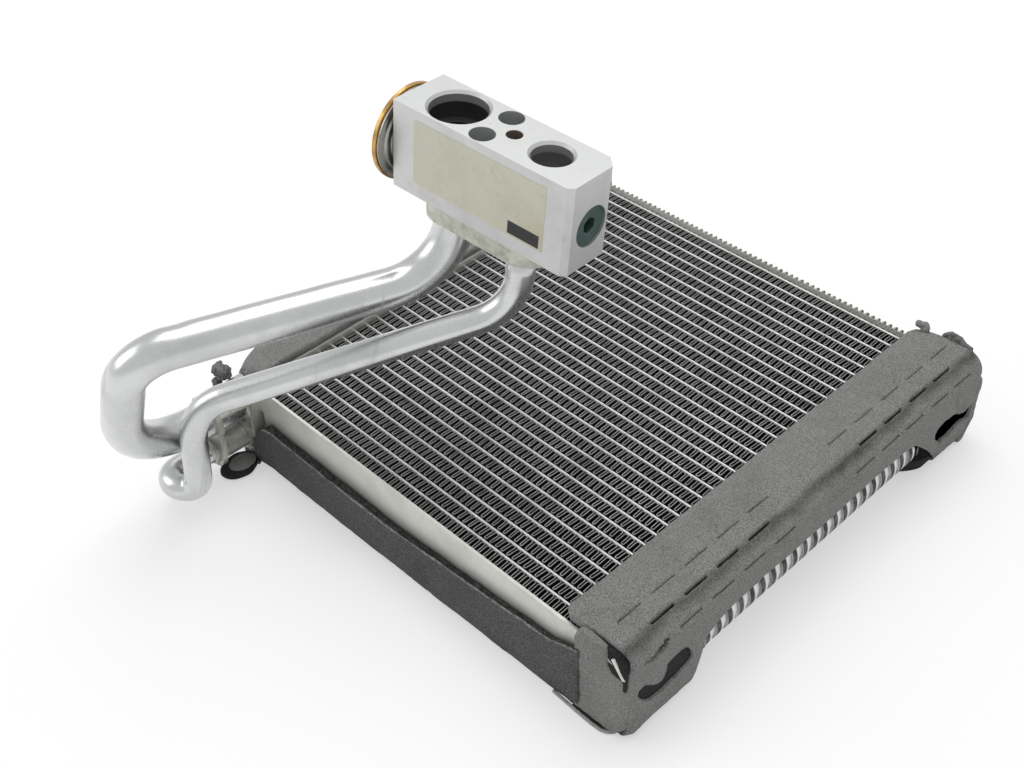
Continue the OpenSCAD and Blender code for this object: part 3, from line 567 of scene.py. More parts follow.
@dataclass(frozen=True)
class LabelFinish:
    """Paper-like film: a pale ground with stains and one black field."""

    name: str = "label_film"
    colour: Colour = (0.55, 0.54, 0.44)
    stain: Colour = (0.42, 0.36, 0.23)
    ink: Colour = (0.012, 0.012, 0.012)
    field_x: tuple[float, float] = (48.2, 63.5)
    field_z: tuple[float, float] = (0.7, 6.5)
    field_blend: float = 0.2
    aged_from_x: float = 36.0
    aged_over_x: float = 30.0
    aged_from_z: float = 6.0
    aged_over_z: float = 12.0
    blot_scale: float = 260.0
    streak_scale: float = 60.0
    grain_scale: float = 900.0
    grain_depth: float = 0.00003

    def build(self) -> bpy.types.Material:
        """Makes the material; the label's UV map holds its own millimetres."""
        recipe = Recipe(self.name)
        flat = recipe.node("ShaderNodeUVMap", {"uv_map": "label"}).outputs[0]
        split = recipe.node("ShaderNodeSeparateXYZ", None, {0: flat})
        x, z = (SocketExpr(recipe, split.outputs[i]) for i in (0, 1))
        black = x.between(*self.field_x, self.field_blend) * z.between(*self.field_z, self.field_blend)
        blots = recipe.noise(self.blot_scale, 5.0, 0.7).above(0.56, 0.16) * 0.5
        streak = recipe.noise(self.streak_scale, 4.0, 0.6).above(0.5, 0.3) * 0.35
        low = 1.0 - z.above(self.aged_from_z, self.aged_over_z)
        aged = x.above(self.aged_from_x, self.aged_over_x) * low * 0.45
        ground = recipe.mix((blots + streak + aged).math("MINIMUM", 1.0), self.colour, self.stain)
        recipe.surface(Base_Color=recipe.mix(black, ground, self.ink),
                       Roughness=blots * 0.2 + 0.42, Metallic=0.0)
        recipe.bump(recipe.noise(self.grain_scale, 2.0, 0.5), 0.12, self.grain_depth)
        return recipe.material


class Finishes:
    """All finishes by plain name, each made once."""

    def __init__(self) -> None:
        """Makes every material."""
        kinds = (
            DrawnMetal("pipe_metal", (0.68, 0.685, 0.685), (0.42, 0.425, 0.42), 0.25, 28.0, 0.45, 0.45),
            BlockFinish(),
            DrawnMetal("flange_metal", (0.60, 0.60, 0.53), (0.36, 0.36, 0.30), 0.48, 190.0, 0.7, 0.4,
                       grain_scale=600.0, grain_depth=0.0001),
            DrawnMetal("tube_metal", (0.60, 0.61, 0.60), (0.36, 0.36, 0.35), 0.45, 90.0, 0.5, 0.2),
            FinFinish(),
            RibbedFinish(),
            DrawnMetal("plate_metal", (0.66, 0.67, 0.62), (0.46, 0.47, 0.42), 0.42, 50.0, 0.5, 0.4,
                       (9.0, 1.0, 1.0), 1400.0, metallic=0.6),
            DrawnMetal("tank_metal", (0.62, 0.62, 0.61), (0.38, 0.38, 0.36), 0.4, 60.0, 0.5, 0.3),
            DrawnMetal("brazed_metal", (0.52, 0.52, 0.48), (0.27, 0.27, 0.24), 0.5, 150.0, 0.8, 0.5,
                       grain_scale=500.0, grain_depth=0.0002),
            DrawnMetal("shell_metal", (0.42, 0.41, 0.38), (0.2, 0.19, 0.16), 0.34, 90.0, 0.6, 0.4),
            DrawnMetal("gold_metal", (0.60, 0.37, 0.13), (0.24, 0.13, 0.06), 0.26, 110.0, 0.8, 0.3),
            DrawnMetal("steel_metal", (0.62, 0.62, 0.63), (0.4, 0.4, 0.4), 0.3, 120.0, 0.3, 0.3),
            DrawnMetal("brass_metal", (0.74, 0.56, 0.26), (0.45, 0.33, 0.15), 0.3, 120.0, 0.3, 0.2),
            DrawnMetal("copper_metal", (0.62, 0.36, 0.22), (0.34, 0.2, 0.13), 0.36, 150.0, 0.5, 0.3),
            DrawnMetal("bolt_metal", (0.34, 0.38, 0.36), (0.2, 0.23, 0.22), 0.42, 200.0, 0.6, 0.4,
                       metallic=0.7),
            SmoothFinish("plug_anodised", (0.035, 0.075, 0.065), (0.1, 0.15, 0.14), 0.45, 0.3),
            SmoothFinish("seal_rubber", (0.012, 0.012, 0.012), (0.04, 0.04, 0.04), 0.55),
            SmoothFinish("spring_wire", (0.3, 0.3, 0.32), (0.16, 0.16, 0.17), 0.35, 0.9),
            FoamFinish("grey_foam", (0.215, 0.22, 0.208), (0.42, 0.43, 0.41), (0.07, 0.07, 0.066),
                       1900.0, 0.25),
            FoamFinish("banded_foam", (0.215, 0.22, 0.208), (0.42, 0.43, 0.41),
                       (0.04, 0.04, 0.038), 1900.0, 0.2, (0.1155, 0.1225)),
            FoamFinish("dark_foam", (0.075, 0.075, 0.073), (0.2, 0.2, 0.195), (0.025, 0.025, 0.024),
                       1400.0, 0.5),
            FoamFinish("mottled_foam", (0.16, 0.16, 0.155), (0.34, 0.34, 0.33),
                       (0.02, 0.02, 0.02), 900.0, 1.0),
            FoamFinish("ridged_foam", (0.085, 0.085, 0.083), (0.30, 0.30, 0.29),
                       (0.014, 0.014, 0.014), 1400.0, 0.3, ledge=True),
            FoamFinish("pale_foam", (0.34, 0.34, 0.32), (0.5, 0.5, 0.48), (0.16, 0.16, 0.15),
                       1500.0, 0.3),
            # black foam of the end pad; the same colour serves as painted shade behind the return foam's
            # openings
            FoamFinish("black_foam", (0.02, 0.02, 0.02), (0.06, 0.06, 0.06), (0.008, 0.008, 0.008),
                       1300.0, 0.4),
            LabelFinish(),
        )
        self.made = {kind.name: kind.build() for kind in kinds}

    def __getitem__(self, name: str) -> bpy.types.Material:
        """The material of that name."""
        return self.made[name]


# Shaping tools


class Form:
    """A mesh being shaped in core millimetres, and then handed over as a piece."""

    def __init__(self) -> None:
        """Starts with nothing."""
        self.bm = bmesh.new()
        self.kept = self.bm.verts.layers.int.new("kept")

    def fresh(self) -> list[bmesh.types.BMVert]:
        """The points of the shape being made."""
        return [v for v in self.bm.verts if not v[self.kept]]

    def grid(self, across: int, along: int, place: Callable[[float, float], Vector]) -> Verts:
        """Adds a sheet of faces and lays each point by its two shares from 0 to 1.

        Args:
            across: faces along the first share.
            along: faces along the second share.
            place: gives a point's place from its shares.

        Returns:
            The sheet's vertices.
        """
        verts = bmesh.ops.create_grid(self.bm, x_segments=across, y_segments=along, size=0.5)["verts"]
        for v in verts:
            v.co = place(v.co.x + 0.5, v.co.y + 0.5)
        return verts

    def turned(self, profile: Sequence[tuple[float, float]], where: Matrix, steps: int = 48) -> None:
        """Turns a profile of (radius, height) pairs once round an axis.

        Args:
            profile: the outline, from first to last point.
            where: placement of the axis, with Z along it.
            steps: faces round the axis.
        """
        verts = [self.bm.verts.new((r, 0, h)) for r, h in profile]
        edges = [self.bm.edges.new(pair) for pair in zip(verts, verts[1:])]
        bmesh.ops.spin(self.bm, geom=verts + edges, cent=(0, 0, 0), axis=(0, 0, 1), dvec=(0, 0, 0),
                       angle=math.tau, steps=steps, use_merge=True, use_normal_flip=False,
                       use_duplicate=False)
        made = self.fresh()
        bmesh.ops.transform(self.bm, matrix=where, verts=made)
        bmesh.ops.remove_doubles(self.bm, verts=made, dist=MERGE_MM)
        self.keep()

    def keep(self) -> None:
        """Marks all points, so that the next shape can tell its own."""
        for v in self.bm.verts:
            v[self.kept] = 1

    def block(self, low: Sequence[float], high: Sequence[float], radius: float,
              cuts: int = 6, segments: int = 4) -> list[bmesh.types.BMVert]:
        """Adds a block with rounded edges.

        Args:
            low: its lowest corner.
            high: its highest corner.
            radius: radius of all edges.
            cuts: cuts across each long side, so that it can be bent.
            segments: faces across each rounded edge.

        Returns:
            The block's vertices.
        """
        low, high = Vector(low), Vector(high)
        size = high - low
        place = Matrix.Translation((low + high) / 2) @ Matrix.Diagonal((*size, 1.0))
        verts = bmesh.ops.create_cube(self.bm, size=1.0, matrix=place)["verts"]
        edges = list({e for v in verts for e in v.link_edges})
        bmesh.ops.bevel(self.bm, geom=edges, offset=radius, offset_type="OFFSET", affect="EDGES",
                        segments=segments, profile=0.5, material=-1, clamp_overlap=True)
        mine = self.fresh()
        for axis in range(3):
            count = max(1, round(cuts * size[axis] / max(size)))
            for i in range(1, count):
                faces = {f for v in mine for f in v.link_faces}
                links = {e for f in faces for e in f.edges}
                at = [0.0, 0.0, 0.0]
                at[axis] = low[axis] + radius + (size[axis] - 2 * radius) * i / count
                normal = [float(k == axis) for k in range(3)]
                bmesh.ops.bisect_plane(self.bm, geom=mine + list(links) + list(faces),
                                       dist=ON_PLANE_MM, plane_co=at, plane_no=normal)
                mine = self.fresh()
        self.keep()
        return mine

    def face_up(self) -> None:
        """Turns a sheet's faces so that its highest one looks up."""
        bmesh.ops.recalc_face_normals(self.bm, faces=self.bm.faces[:])
        top = max(self.bm.faces, key=lambda f: f.calc_center_median().z)
        if top.normal.z < 0:
            bmesh.ops.reverse_faces(self.bm, faces=self.bm.faces[:])

    def keep_above(self, lowest: float) -> None:
        """Lifts whatever has sunk below a height up to it."""
        for v in self.bm.verts:
            v.co.z = max(v.co.z, lowest)

    def ruffle(self, verts: Verts, amount: float, span: float, seed: float) -> None:
        """Moves points along their normals by smooth noise.

        Args:
            verts: the points.
            amount: the farthest that one moves.
            span: size of the bumps.
            seed: picks the pattern.
        """
        self.bm.normal_update()
        shift = Vector((seed, 1.7 * seed, -0.6 * seed))
        for v in verts:
            v.co += v.normal * amount * noise.noise(v.co / span + shift)

    def ruffle_all(self, verts: Verts, ripples: Sequence[Ripple]) -> None:
        """Ruffles points by one ripple after the other."""
        for ripple in ripples:
            self.ruffle(verts, *ripple)

    def hand_over(self, name: str, finish: bpy.types.Material,
                  nodes: Sequence[str] = (), smooth: float = 35.0, tidy: bool = True,
                  wall: float = 0.0) -> bpy.types.Object:
        """Makes the piece in the row frame and lets it ride on the core.

        Args:
            name: the piece's name.
            finish: its material.
            nodes: CAD nodes that it stands for.
            smooth: edges sharper than this, in degrees, stay sharp.
            tidy: whether faces are turned outwards again.
            wall: thickness given to a sheet, below its faces, and none of it under the floor.

        Returns:
            The piece.
        """
        if tidy:
            bmesh.ops.recalc_face_normals(self.bm, faces=self.bm.faces[:])
        self.bm.transform(CORE.matrix())
        sharp = math.radians(smooth)
        for face in self.bm.faces:
            face.smooth = True
        for edge in self.bm.edges:
            edge.smooth = len(edge.link_faces) != 2 or edge.calc_face_angle(0.0) < sharp
        mesh = bpy.data.meshes.new(name)
        self.bm.to_mesh(mesh)
        self.bm.free()
        piece = bpy.data.objects.new(name, mesh)
        bpy.context.scene.collection.objects.link(piece)
        mesh.materials.append(finish)
        if wall:
            self.give_wall(piece, wall)
        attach(piece, BODY)
        if nodes:
            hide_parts(*nodes)
        LOG.info("%s: %d faces", name, len(piece.data.polygons))
        return piece

    @staticmethod
    def give_wall(piece: bpy.types.Object, wall: float) -> None:
        """Thickens a sheet inwards for good, and lifts what would sink into the floor.

        Args:
            piece: the sheet.
            wall: its thickness in millimetres.
        """
        shell = piece.modifiers.new("wall", "SOLIDIFY")
        shell.thickness, shell.offset = wall * MM, -1.0
        depsgraph = bpy.context.evaluated_depsgraph_get()
        walled = bpy.data.meshes.new_from_object(piece.evaluated_get(depsgraph))
        piece.modifiers.clear()
        piece.data = walled
        for v in walled.vertices:
            v.co.z = max(v.co.z, 0.0)


# The core


@dataclass(frozen=True)
class FinPack:
    """Folded fins at their real pitch, one strip in each gap."""

    strips: int = 33
    pitch: float = 7.0
    half_height: float = 2.86
    length: float = 196.0
    top: float = -0.78
    bottom: float = -37.25
    waves: int = 63
    sheet: float = 0.31
    lean: float = 0.07
    crown: float = 0.45
    points_per_wave: int = 8
    end_room: float = 0.05
    slow_drift: tuple[float, float] = (0.11, 0.35)
    quick_drift: tuple[float, float] = (0.9, 0.16)

    def fold(self, step: int, strip: int) -> tuple[float, float]:
        """Place of a point on a strip's folded line.

        Args:
            step: number of the point, eight to a wave.
            strip: number of the strip.

        Returns:
            Distance along the strip, and height across it.
        """
        wave = self.length / self.waves
        crest = wave / 4
        flat = self.half_height - self.sheet - self.crown
        peak = flat + self.crown
        turns = ((0, -flat), (0, flat), (0.55, peak), (1.45, peak),
                 (2, flat), (2, -flat), (2.55, -peak), (3.45, -peak))
        shift, height = turns[step % self.points_per_wave]
        x = (step // self.points_per_wave) * wave + shift * crest
        rate, amount = self.slow_drift
        drift = noise.noise(Vector((x * rate, strip * 3.1, 0.0))) * amount
        rate, amount = self.quick_drift
        drift += noise.noise(Vector((x * rate, strip * 5.3, 4.0))) * amount
        lean = self.lean * height * (1 if strip % 2 else -0.6)
        return min(max(x + drift + lean, self.end_room), self.length - self.end_room), height

    def build(self, finishes: Finishes) -> bpy.types.Object:
        """Makes all strips as one piece."""
        form = Form()
        steps = self.waves * self.points_per_wave
        for strip in range(self.strips):
            middle = (strip - 0.5) * self.pitch
            line = [self.fold(i, strip) for i in range(steps + 1)]

            def place(u: float, v: float) -> Vector:
                """A point of the strip from its two shares."""
                x, height = line[round(u * steps)]
                return Vector((x, middle + height, self.bottom + (self.top - self.bottom) * v))

            form.grid(steps, 1, place)
        bmesh.ops.solidify(form.bm, geom=form.bm.faces[:], thickness=self.sheet)
        return form.hand_over("fin_strips", finishes["fin_metal"], ["fins"],
                              smooth=80.0, tidy=False)


@dataclass(frozen=True)
class SideTab:
    """Bent metal tab that shows through the foam at the near corner."""

    low: Place = (212.2, -9.3, -7.4)
    high: Place = (213.9, -8.3, 2.2)
    turn: float = -37.0
    moved: Place = (2.3, 0.0, 0.2)
    edge_radius: float = 0.35

    def build(self, finishes: Finishes) -> bpy.types.Object:
        """Makes the tab."""
        form = Form()
        verts = form.block(self.low, self.high, self.edge_radius)
        middle = (Vector(self.low) + Vector(self.high)) / 2
        bmesh.ops.rotate(form.bm, verts=verts, cent=middle,
                         matrix=Matrix.Rotation(math.radians(self.turn), 3, "Y"))
        bmesh.ops.translate(form.bm, verts=verts, vec=self.moved)
        return form.hand_over("corner_tab", finishes["plate_metal"])


# Pipes


@dataclass(frozen=True)
class Dent:
    """A shallow hollow in a pipe."""

    centre: Place
    reach: float
    depth: float


@dataclass(frozen=True)
class PipeRoute:
    """A round pipe along corner points, with a true arc at each inner corner."""

    name: str
    node: str
    corners: tuple[Place, ...]
    bends: tuple[float, ...]
    radius: float
    neck: Line = ()
    dents: tuple[Dent, ...] = ()
    sides: int = 40
    step: float = 4.0
    faces_per_radian: float = 14.0
    fewest_bend_steps: int = 6
    broad_waviness: tuple[float, float] = (0.10, 14.0)
    fine_waviness: tuple[float, float] = (0.03, 3.0)

    def build(self, finishes: Finishes) -> bpy.types.Object:
        """Sweeps the pipe from its valve end to its tank end."""
        form = Form()
        points = [Vector(p) for p in self.corners]
        direction = (points[1] - points[0]).normalized()
        ring = bmesh.ops.create_circle(form.bm, cap_ends=False, radius=self.radius,
                                       segments=self.sides,
                                       matrix=frame_along(points[0], direction))["verts"]
        here = points[0]
        ring_radius = self.radius
        for length, radius in self.neck:
            ring = self.push(form, ring, direction * length)
            here = here + direction * length
            bmesh.ops.scale(form.bm, vec=(radius / ring_radius,) * 3, verts=ring,
                            space=Matrix.Translation(-here))
            ring_radius = radius
        for i in range(1, len(points) - 1):
            after = (points[i + 1] - points[i]).normalized()
            angle = direction.angle(after)
            cut = self.bends[i - 1] * math.tan(angle / 2)
            start = points[i] - direction * cut
            ring = self.straight(form, ring, start - here)
            inner = (after - direction * direction.dot(after)).normalized()
            centre = start + inner * self.bends[i - 1]
            axis = (start - centre).cross(direction).normalized()
            edges = self.links(ring)
            swept = bmesh.ops.spin(form.bm, geom=ring + edges, cent=centre, axis=axis,
                                   dvec=(0, 0, 0), angle=angle, steps=self.bend_steps(angle),
                                   use_merge=False, use_normal_flip=False, use_duplicate=False)
            ring = [e for e in swept["geom_last"] if isinstance(e, bmesh.types.BMVert)]
            here = points[i] + after * cut
            direction = after
        self.straight(form, ring, points[-1] - here)
        bmesh.ops.remove_doubles(form.bm, verts=form.bm.verts[:], dist=MERGE_MM)
        bmesh.ops.holes_fill(form.bm, edges=[e for e in form.bm.edges if e.is_boundary], sides=0)
        self.shape(form)
        return form.hand_over(self.name, finishes["pipe_metal"], [self.node], smooth=50.0)

    def bend_steps(self, angle: float) -> int:
        """Number of faces along a bend of an angle."""
        return max(self.fewest_bend_steps, round(angle * self.faces_per_radian))

    def straight(self, form: Form, ring: Verts, way: Vector) -> Verts:
        """Extrudes a straight stretch in even steps.

        Args:
            form: the form that holds the ring.
            ring: the ring's points.
            way: from the ring to the stretch's end.

        Returns:
            The last ring's points.
        """
        steps = max(1, round(way.length / self.step))
        for _ in range(steps):
            ring = self.push(form, ring, way / steps)
        return ring

    @staticmethod
    def links(ring: Verts) -> list[bmesh.types.BMEdge]:
        """The edges between the points of a ring."""
        inside = set(ring)
        return [e for v in ring for e in v.link_edges
                if e.verts[0] == v and e.other_vert(v) in inside]

    def push(self, form: Form, ring: Verts, move: Vector) -> Verts:
        """Extrudes a ring's edges and moves the new ring.

        Args:
            form: the form that holds the ring.
            ring: the ring's points.
            move: how far the new ring goes.

        Returns:
            The new ring's points.
        """
        made = bmesh.ops.extrude_edge_only(form.bm, edges=self.links(ring))["geom"]
        verts = [g for g in made if isinstance(g, bmesh.types.BMVert)]
        bmesh.ops.translate(form.bm, vec=move, verts=verts)
        return verts

    def shape(self, form: Form) -> None:
        """Presses the dents and a faint drawing waviness into the pipe."""
        form.bm.normal_update()
        for v in form.bm.verts:
            move = sum(depth * noise.noise(v.co / span)
                       for depth, span in (self.broad_waviness, self.fine_waviness))
            for dent in self.dents:
                away = (v.co - Vector(dent.centre)).length / dent.reach
                if away < 1.0:
                    move -= dent.depth * (1.0 - away * away) ** 2
            v.co += v.normal * move


@dataclass(frozen=True)
class Pipework:
    """Both pipes with their brazed joints."""

    suction_x: float = 21.0
    suction_radius: float = 8.5
    suction_elbow: Place = (21.1, -73.3, 68.8)
    suction_low_y: float = -74.7
    suction_bends: tuple[float, ...] = (29.0, 20.2, 42.6)
    suction_dents: tuple[Dent, ...] = (Dent((25.0, -52.0, 77.0), 7.0, 0.5),)
    liquid_x: float = 56.0
    liquid_radius: float = 6.0
    liquid_knee: Place = (6.6, -44.9, 17.2)
    liquid_foot: tuple[float, float] = (5.9, -49.2)
    liquid_low_y: float = -61.5
    liquid_bends: tuple[float, ...] = (26.0, 25.0, 7.5, 7.1)
    liquid_dents: tuple[Dent, ...] = (Dent((46.0, -22.0, 46.5), 5.0, 0.35),)
    liquid_neck: Line = (
        (0.5, 4.75), (19.5, 4.75), (1.5, 4.85), (1.0, 5.2), (1.0, 5.6), (1.5, 5.95), (1.0, 6.0))
    neck_joint_radius: float = 4.8
    seat_z: float = -31.0
    flange_z: float = -47.0
    drop: float = 29.5
    tank_axis_x: float = -10.675
    liquid_axis_x: float = -11.675
    upper_z: float = -9.475
    lower_z: float = -28.525
    tank_end_y: float = -13.0
    into_tank: float = 4.0
    sleeve: float = 19.0
    flange_fillet: tuple[float, float] = (1.9, 3.2)
    tank_fillet: tuple[float, float] = (1.2, 2.0)
    sleeve_fillet: tuple[float, float] = (0.9, 1.6)
    fillet_ripple: tuple[float, float] = (0.35, 2.2)

    def start(self, x: float) -> tuple[Place, Place]:
        """A pipe's first two corners: its seat in the valve and the corner under the flange."""
        return (tuple(VALVE.point(x, 0, self.seat_z)),
                tuple(VALVE.point(x, 0, self.flange_z - self.drop)))

    def routes(self) -> tuple[PipeRoute, PipeRoute]:
        """The suction and the liquid pipe."""
        inner_y = self.tank_end_y + self.into_tank
        suction = (*self.start(self.suction_x), self.suction_elbow,
                   (self.tank_axis_x, self.suction_low_y, self.upper_z),
                   (self.tank_axis_x, inner_y, self.upper_z))
        liquid = (*self.start(self.liquid_x), self.liquid_knee, (*self.liquid_foot, self.lower_z),
                  (self.liquid_axis_x, self.liquid_low_y, self.lower_z),
                  (self.liquid_axis_x, inner_y, self.lower_z))
        return (PipeRoute("suction_line", "suction_pipe", suction, self.suction_bends,
                          self.suction_radius, dents=self.suction_dents),
                PipeRoute("liquid_line", "liquid_pipe", liquid, self.liquid_bends,
                          self.liquid_radius, self.liquid_neck, self.liquid_dents))

    def fillet(self, form: Form, where: Matrix, inner: float, size: tuple[float, float],
               seed: float) -> None:
        """Adds a lumpy braze fillet round a pipe.

        Args:
            form: the form to add it to.
            where: placement of the pipe's axis at the face, with Z away from it.
            inner: the pipe's radius.
            size: how far the fillet spreads on the face, and how far it climbs the pipe.
            seed: picks the lumps.
        """
        reach, height = size
        before = set(form.bm.verts)
        form.turned([(inner - 0.4, height), (inner + 0.05, height), (inner + 0.12, height * 0.6),
                     (inner + reach * 0.35, height * 0.28), (inner + reach, 0.12),
                     (inner + reach, -0.3), (inner - 0.4, -0.3), (inner - 0.4, height)], where, 56)
        form.ruffle([v for v in form.bm.verts if v not in before], *self.fillet_ripple, seed)
        form.keep()

    def build(self, finishes: Finishes) -> None:
        """Makes the pipes and the fillets."""
        for route in self.routes():
            route.build(finishes)
        form = Form()
        down = VALVE.matrix().to_3x3() @ Vector((0, 0, -1))
        for x, radius, seed in ((self.suction_x, self.suction_radius, 1.0),
                                (self.liquid_x, self.neck_joint_radius, 2.0)):
            spot = VALVE.point(x, 0, self.flange_z)
            self.fillet(form, frame_along(spot, down), radius, self.flange_fillet, seed)
        out = Vector((0, -1, 0))
        spot = Vector((self.tank_axis_x, self.tank_end_y, self.upper_z))
        self.fillet(form, frame_along(spot, out), self.suction_radius, self.tank_fillet, 3.0)
        spot = Vector((self.liquid_axis_x, self.tank_end_y - self.sleeve, self.lower_z))
        self.fillet(form, frame_along(spot, out), self.liquid_radius, self.sleeve_fillet, 4.0)
        form.hand_over("braze_fillets", finishes["brazed_metal"])


# Foam


@dataclass(frozen=True)
class WrapSection:
    """Outer line of a foam strip round a header: a flap, a fold, a wall and a turn underneath."""

    start_u: float
    outer_u: float
    top_z: float
    floor_z: float
    fold: float
    hem: float = 3.0
    under: float = 14.0

    def lengths(self) -> tuple[float, float, float, float]:
        """Lengths of the flap, fold, wall and hem along the line."""
        return (self.outer_u - self.fold - self.start_u, self.fold * math.pi / 2,
                self.top_z - self.fold - self.floor_z - self.hem, self.hem * math.pi / 2)

    def total(self) -> float:
        """Length of the whole line."""
        return sum(self.lengths()) + self.under

    def depth_length(self, depth: float) -> float:
        """Length along the line down to a depth below the core's upper face."""
        flap, fold, _, _ = self.lengths()
        return flap + fold + (self.top_z - self.fold + depth)

    def at(self, s: float) -> tuple[float, float]:
        """Distance out from the fins' end, and height, at a length along the line."""
        flap, fold, wall, hem = self.lengths()
        if s <= flap:
            return self.start_u + s, self.top_z
        s -= flap
        if s <= fold:
            a = s / self.fold
            return (self.outer_u - self.fold * (1 - math.sin(a)),
                    self.top_z - self.fold * (1 - math.cos(a)))
        s -= fold
        if s <= wall:
            return self.outer_u, self.top_z - self.fold - s
        s -= wall
        if s <= hem:
            a = s / self.hem
            return (self.outer_u - self.hem * (1 - math.cos(a)),
                    self.floor_z + self.hem * (1 - math.sin(a)))
        return self.outer_u - self.hem - (s - hem), self.floor_z


def along(points: Sequence[tuple[float, float]], x: float) -> float:
    """Height of a line through points at a place, level beyond its ends."""
    if x <= points[0][0]:
        return points[0][1]
    for (x0, y0), (x1, y1) in zip(points, points[1:]):
        if x <= x1:
            return y0 + (y1 - y0) * (x - x0) / (x1 - x0)
    return points[-1][1]


def hollow(x: float, y: float, reach_x: float, reach_y: float) -> float:
    """A soft hollow of depth 1 in the middle, fading over its two reaches."""
    return math.exp(-(x / reach_x) ** 2 - (y / reach_y) ** 2)


class CutOut:
    """An opening with a smooth outline through a few corner points."""

    def __init__(self, *corners: tuple[float, float], steps: int = 6) -> None:
        """Draws the closed outline.

        Args:
            corners: points that the outline passes through, in order.
            steps: pieces of the outline from one corner to the next.
        """
        points = [Vector(c) for c in corners]
        self.line = []
        for i in range(len(points)):
            before, start, end, after = (points[(i + k - 1) % len(points)] for k in range(4))
            for j in range(steps):
                t = j / steps
                self.line.append(0.5 * (2 * start + (end - before) * t
                                        + (2 * before - 5 * start + 4 * end - after) * t * t
                                        + (3 * start - before - 3 * end + after) * t ** 3))
        self.low = Vector((min(q.x for q in self.line), min(q.y for q in self.line)))
        self.high = Vector((max(q.x for q in self.line), max(q.y for q in self.line)))

    def near(self, x: float, y: float, room: float) -> bool:
        """Whether a point lies within the outline's box, widened by some room."""
        return (self.low.x - room < x < self.high.x + room
                and self.low.y - room < y < self.high.y + room)

    def holds(self, x: float, y: float) -> bool:
        """Whether a point lies inside the outline."""
        inside = False
        for i, end in enumerate(self.line):
            start = self.line[i - 1]
            if (start.y > y) != (end.y > y):
                crossing = start.x + (end.x - start.x) * (y - start.y) / (end.y - start.y)
                inside ^= x < crossing
        return inside

    def covers(self, x: float, y: float) -> bool:
        """Whether a point lies inside, tested by the box first."""
        return self.near(x, y, 0.0) and self.holds(x, y)

    def nearest(self, x: float, y: float) -> Vector:
        """The outline's nearest point."""
        spot = Vector((x, y))
        best = None
        for i, end in enumerate(self.line):
            start = self.line[i - 1]
            span = end - start
            share = min(max((spot - start).dot(span) / max(span.length_squared, 1e-9), 0.0), 1.0)
            found = start + span * share
            if best is None or (found - spot).length < (best - spot).length:
                best = found
        return best


@dataclass(frozen=True)
class SlitRow:
    """A row of slits with none in the middle of the header."""

    first: float
    last: float
    runs: tuple[tuple[float, float, int], ...]
    length: float = 13.0

    def holds(self, length: float, y: float) -> bool:
        """Whether a point of the foam's surface lies in one of the slits."""
        if not self.first < length < self.last:
            return False
        for start, pitch, count in self.runs:
            offset = y - start
            if 0.0 <= offset < pitch * count and offset % pitch < self.length:
                return True
        return False


@dataclass(frozen=True)
class Press:
    """A crease or dent in foam: its depth, its middle, how it slopes and how far it reaches."""

    depth: float
    y: float
    z: float
    slope: float
    reach_y: float
    reach_z: float

    def at(self, y: float, z: float) -> float:
        """Depth at a place."""
        across = y - self.y + z * self.slope
        return self.depth * hollow(across, z - self.z, self.reach_y, self.reach_z)


@dataclass(frozen=True)
class Crease:
    """A fine crease in the near end's face: where it is, how it leans and how long it is."""

    x: float
    lean: float
    reach: float
    z: float = -22.0
    depth: float = 0.4
    width: float = 0.55

    def at(self, x: float, z: float) -> float:
        """Depth at a place."""
        height = z - self.z
        return self.depth * hollow(x - self.x - self.lean * height, height, self.width, self.reach)


@dataclass(frozen=True)
class Patch:
    """A dark sheet of painted shade behind an opening: how far out it lies, where it starts and its size.
    """

    u: float
    start_y: float
    top_z: float
    length: float
    height: float


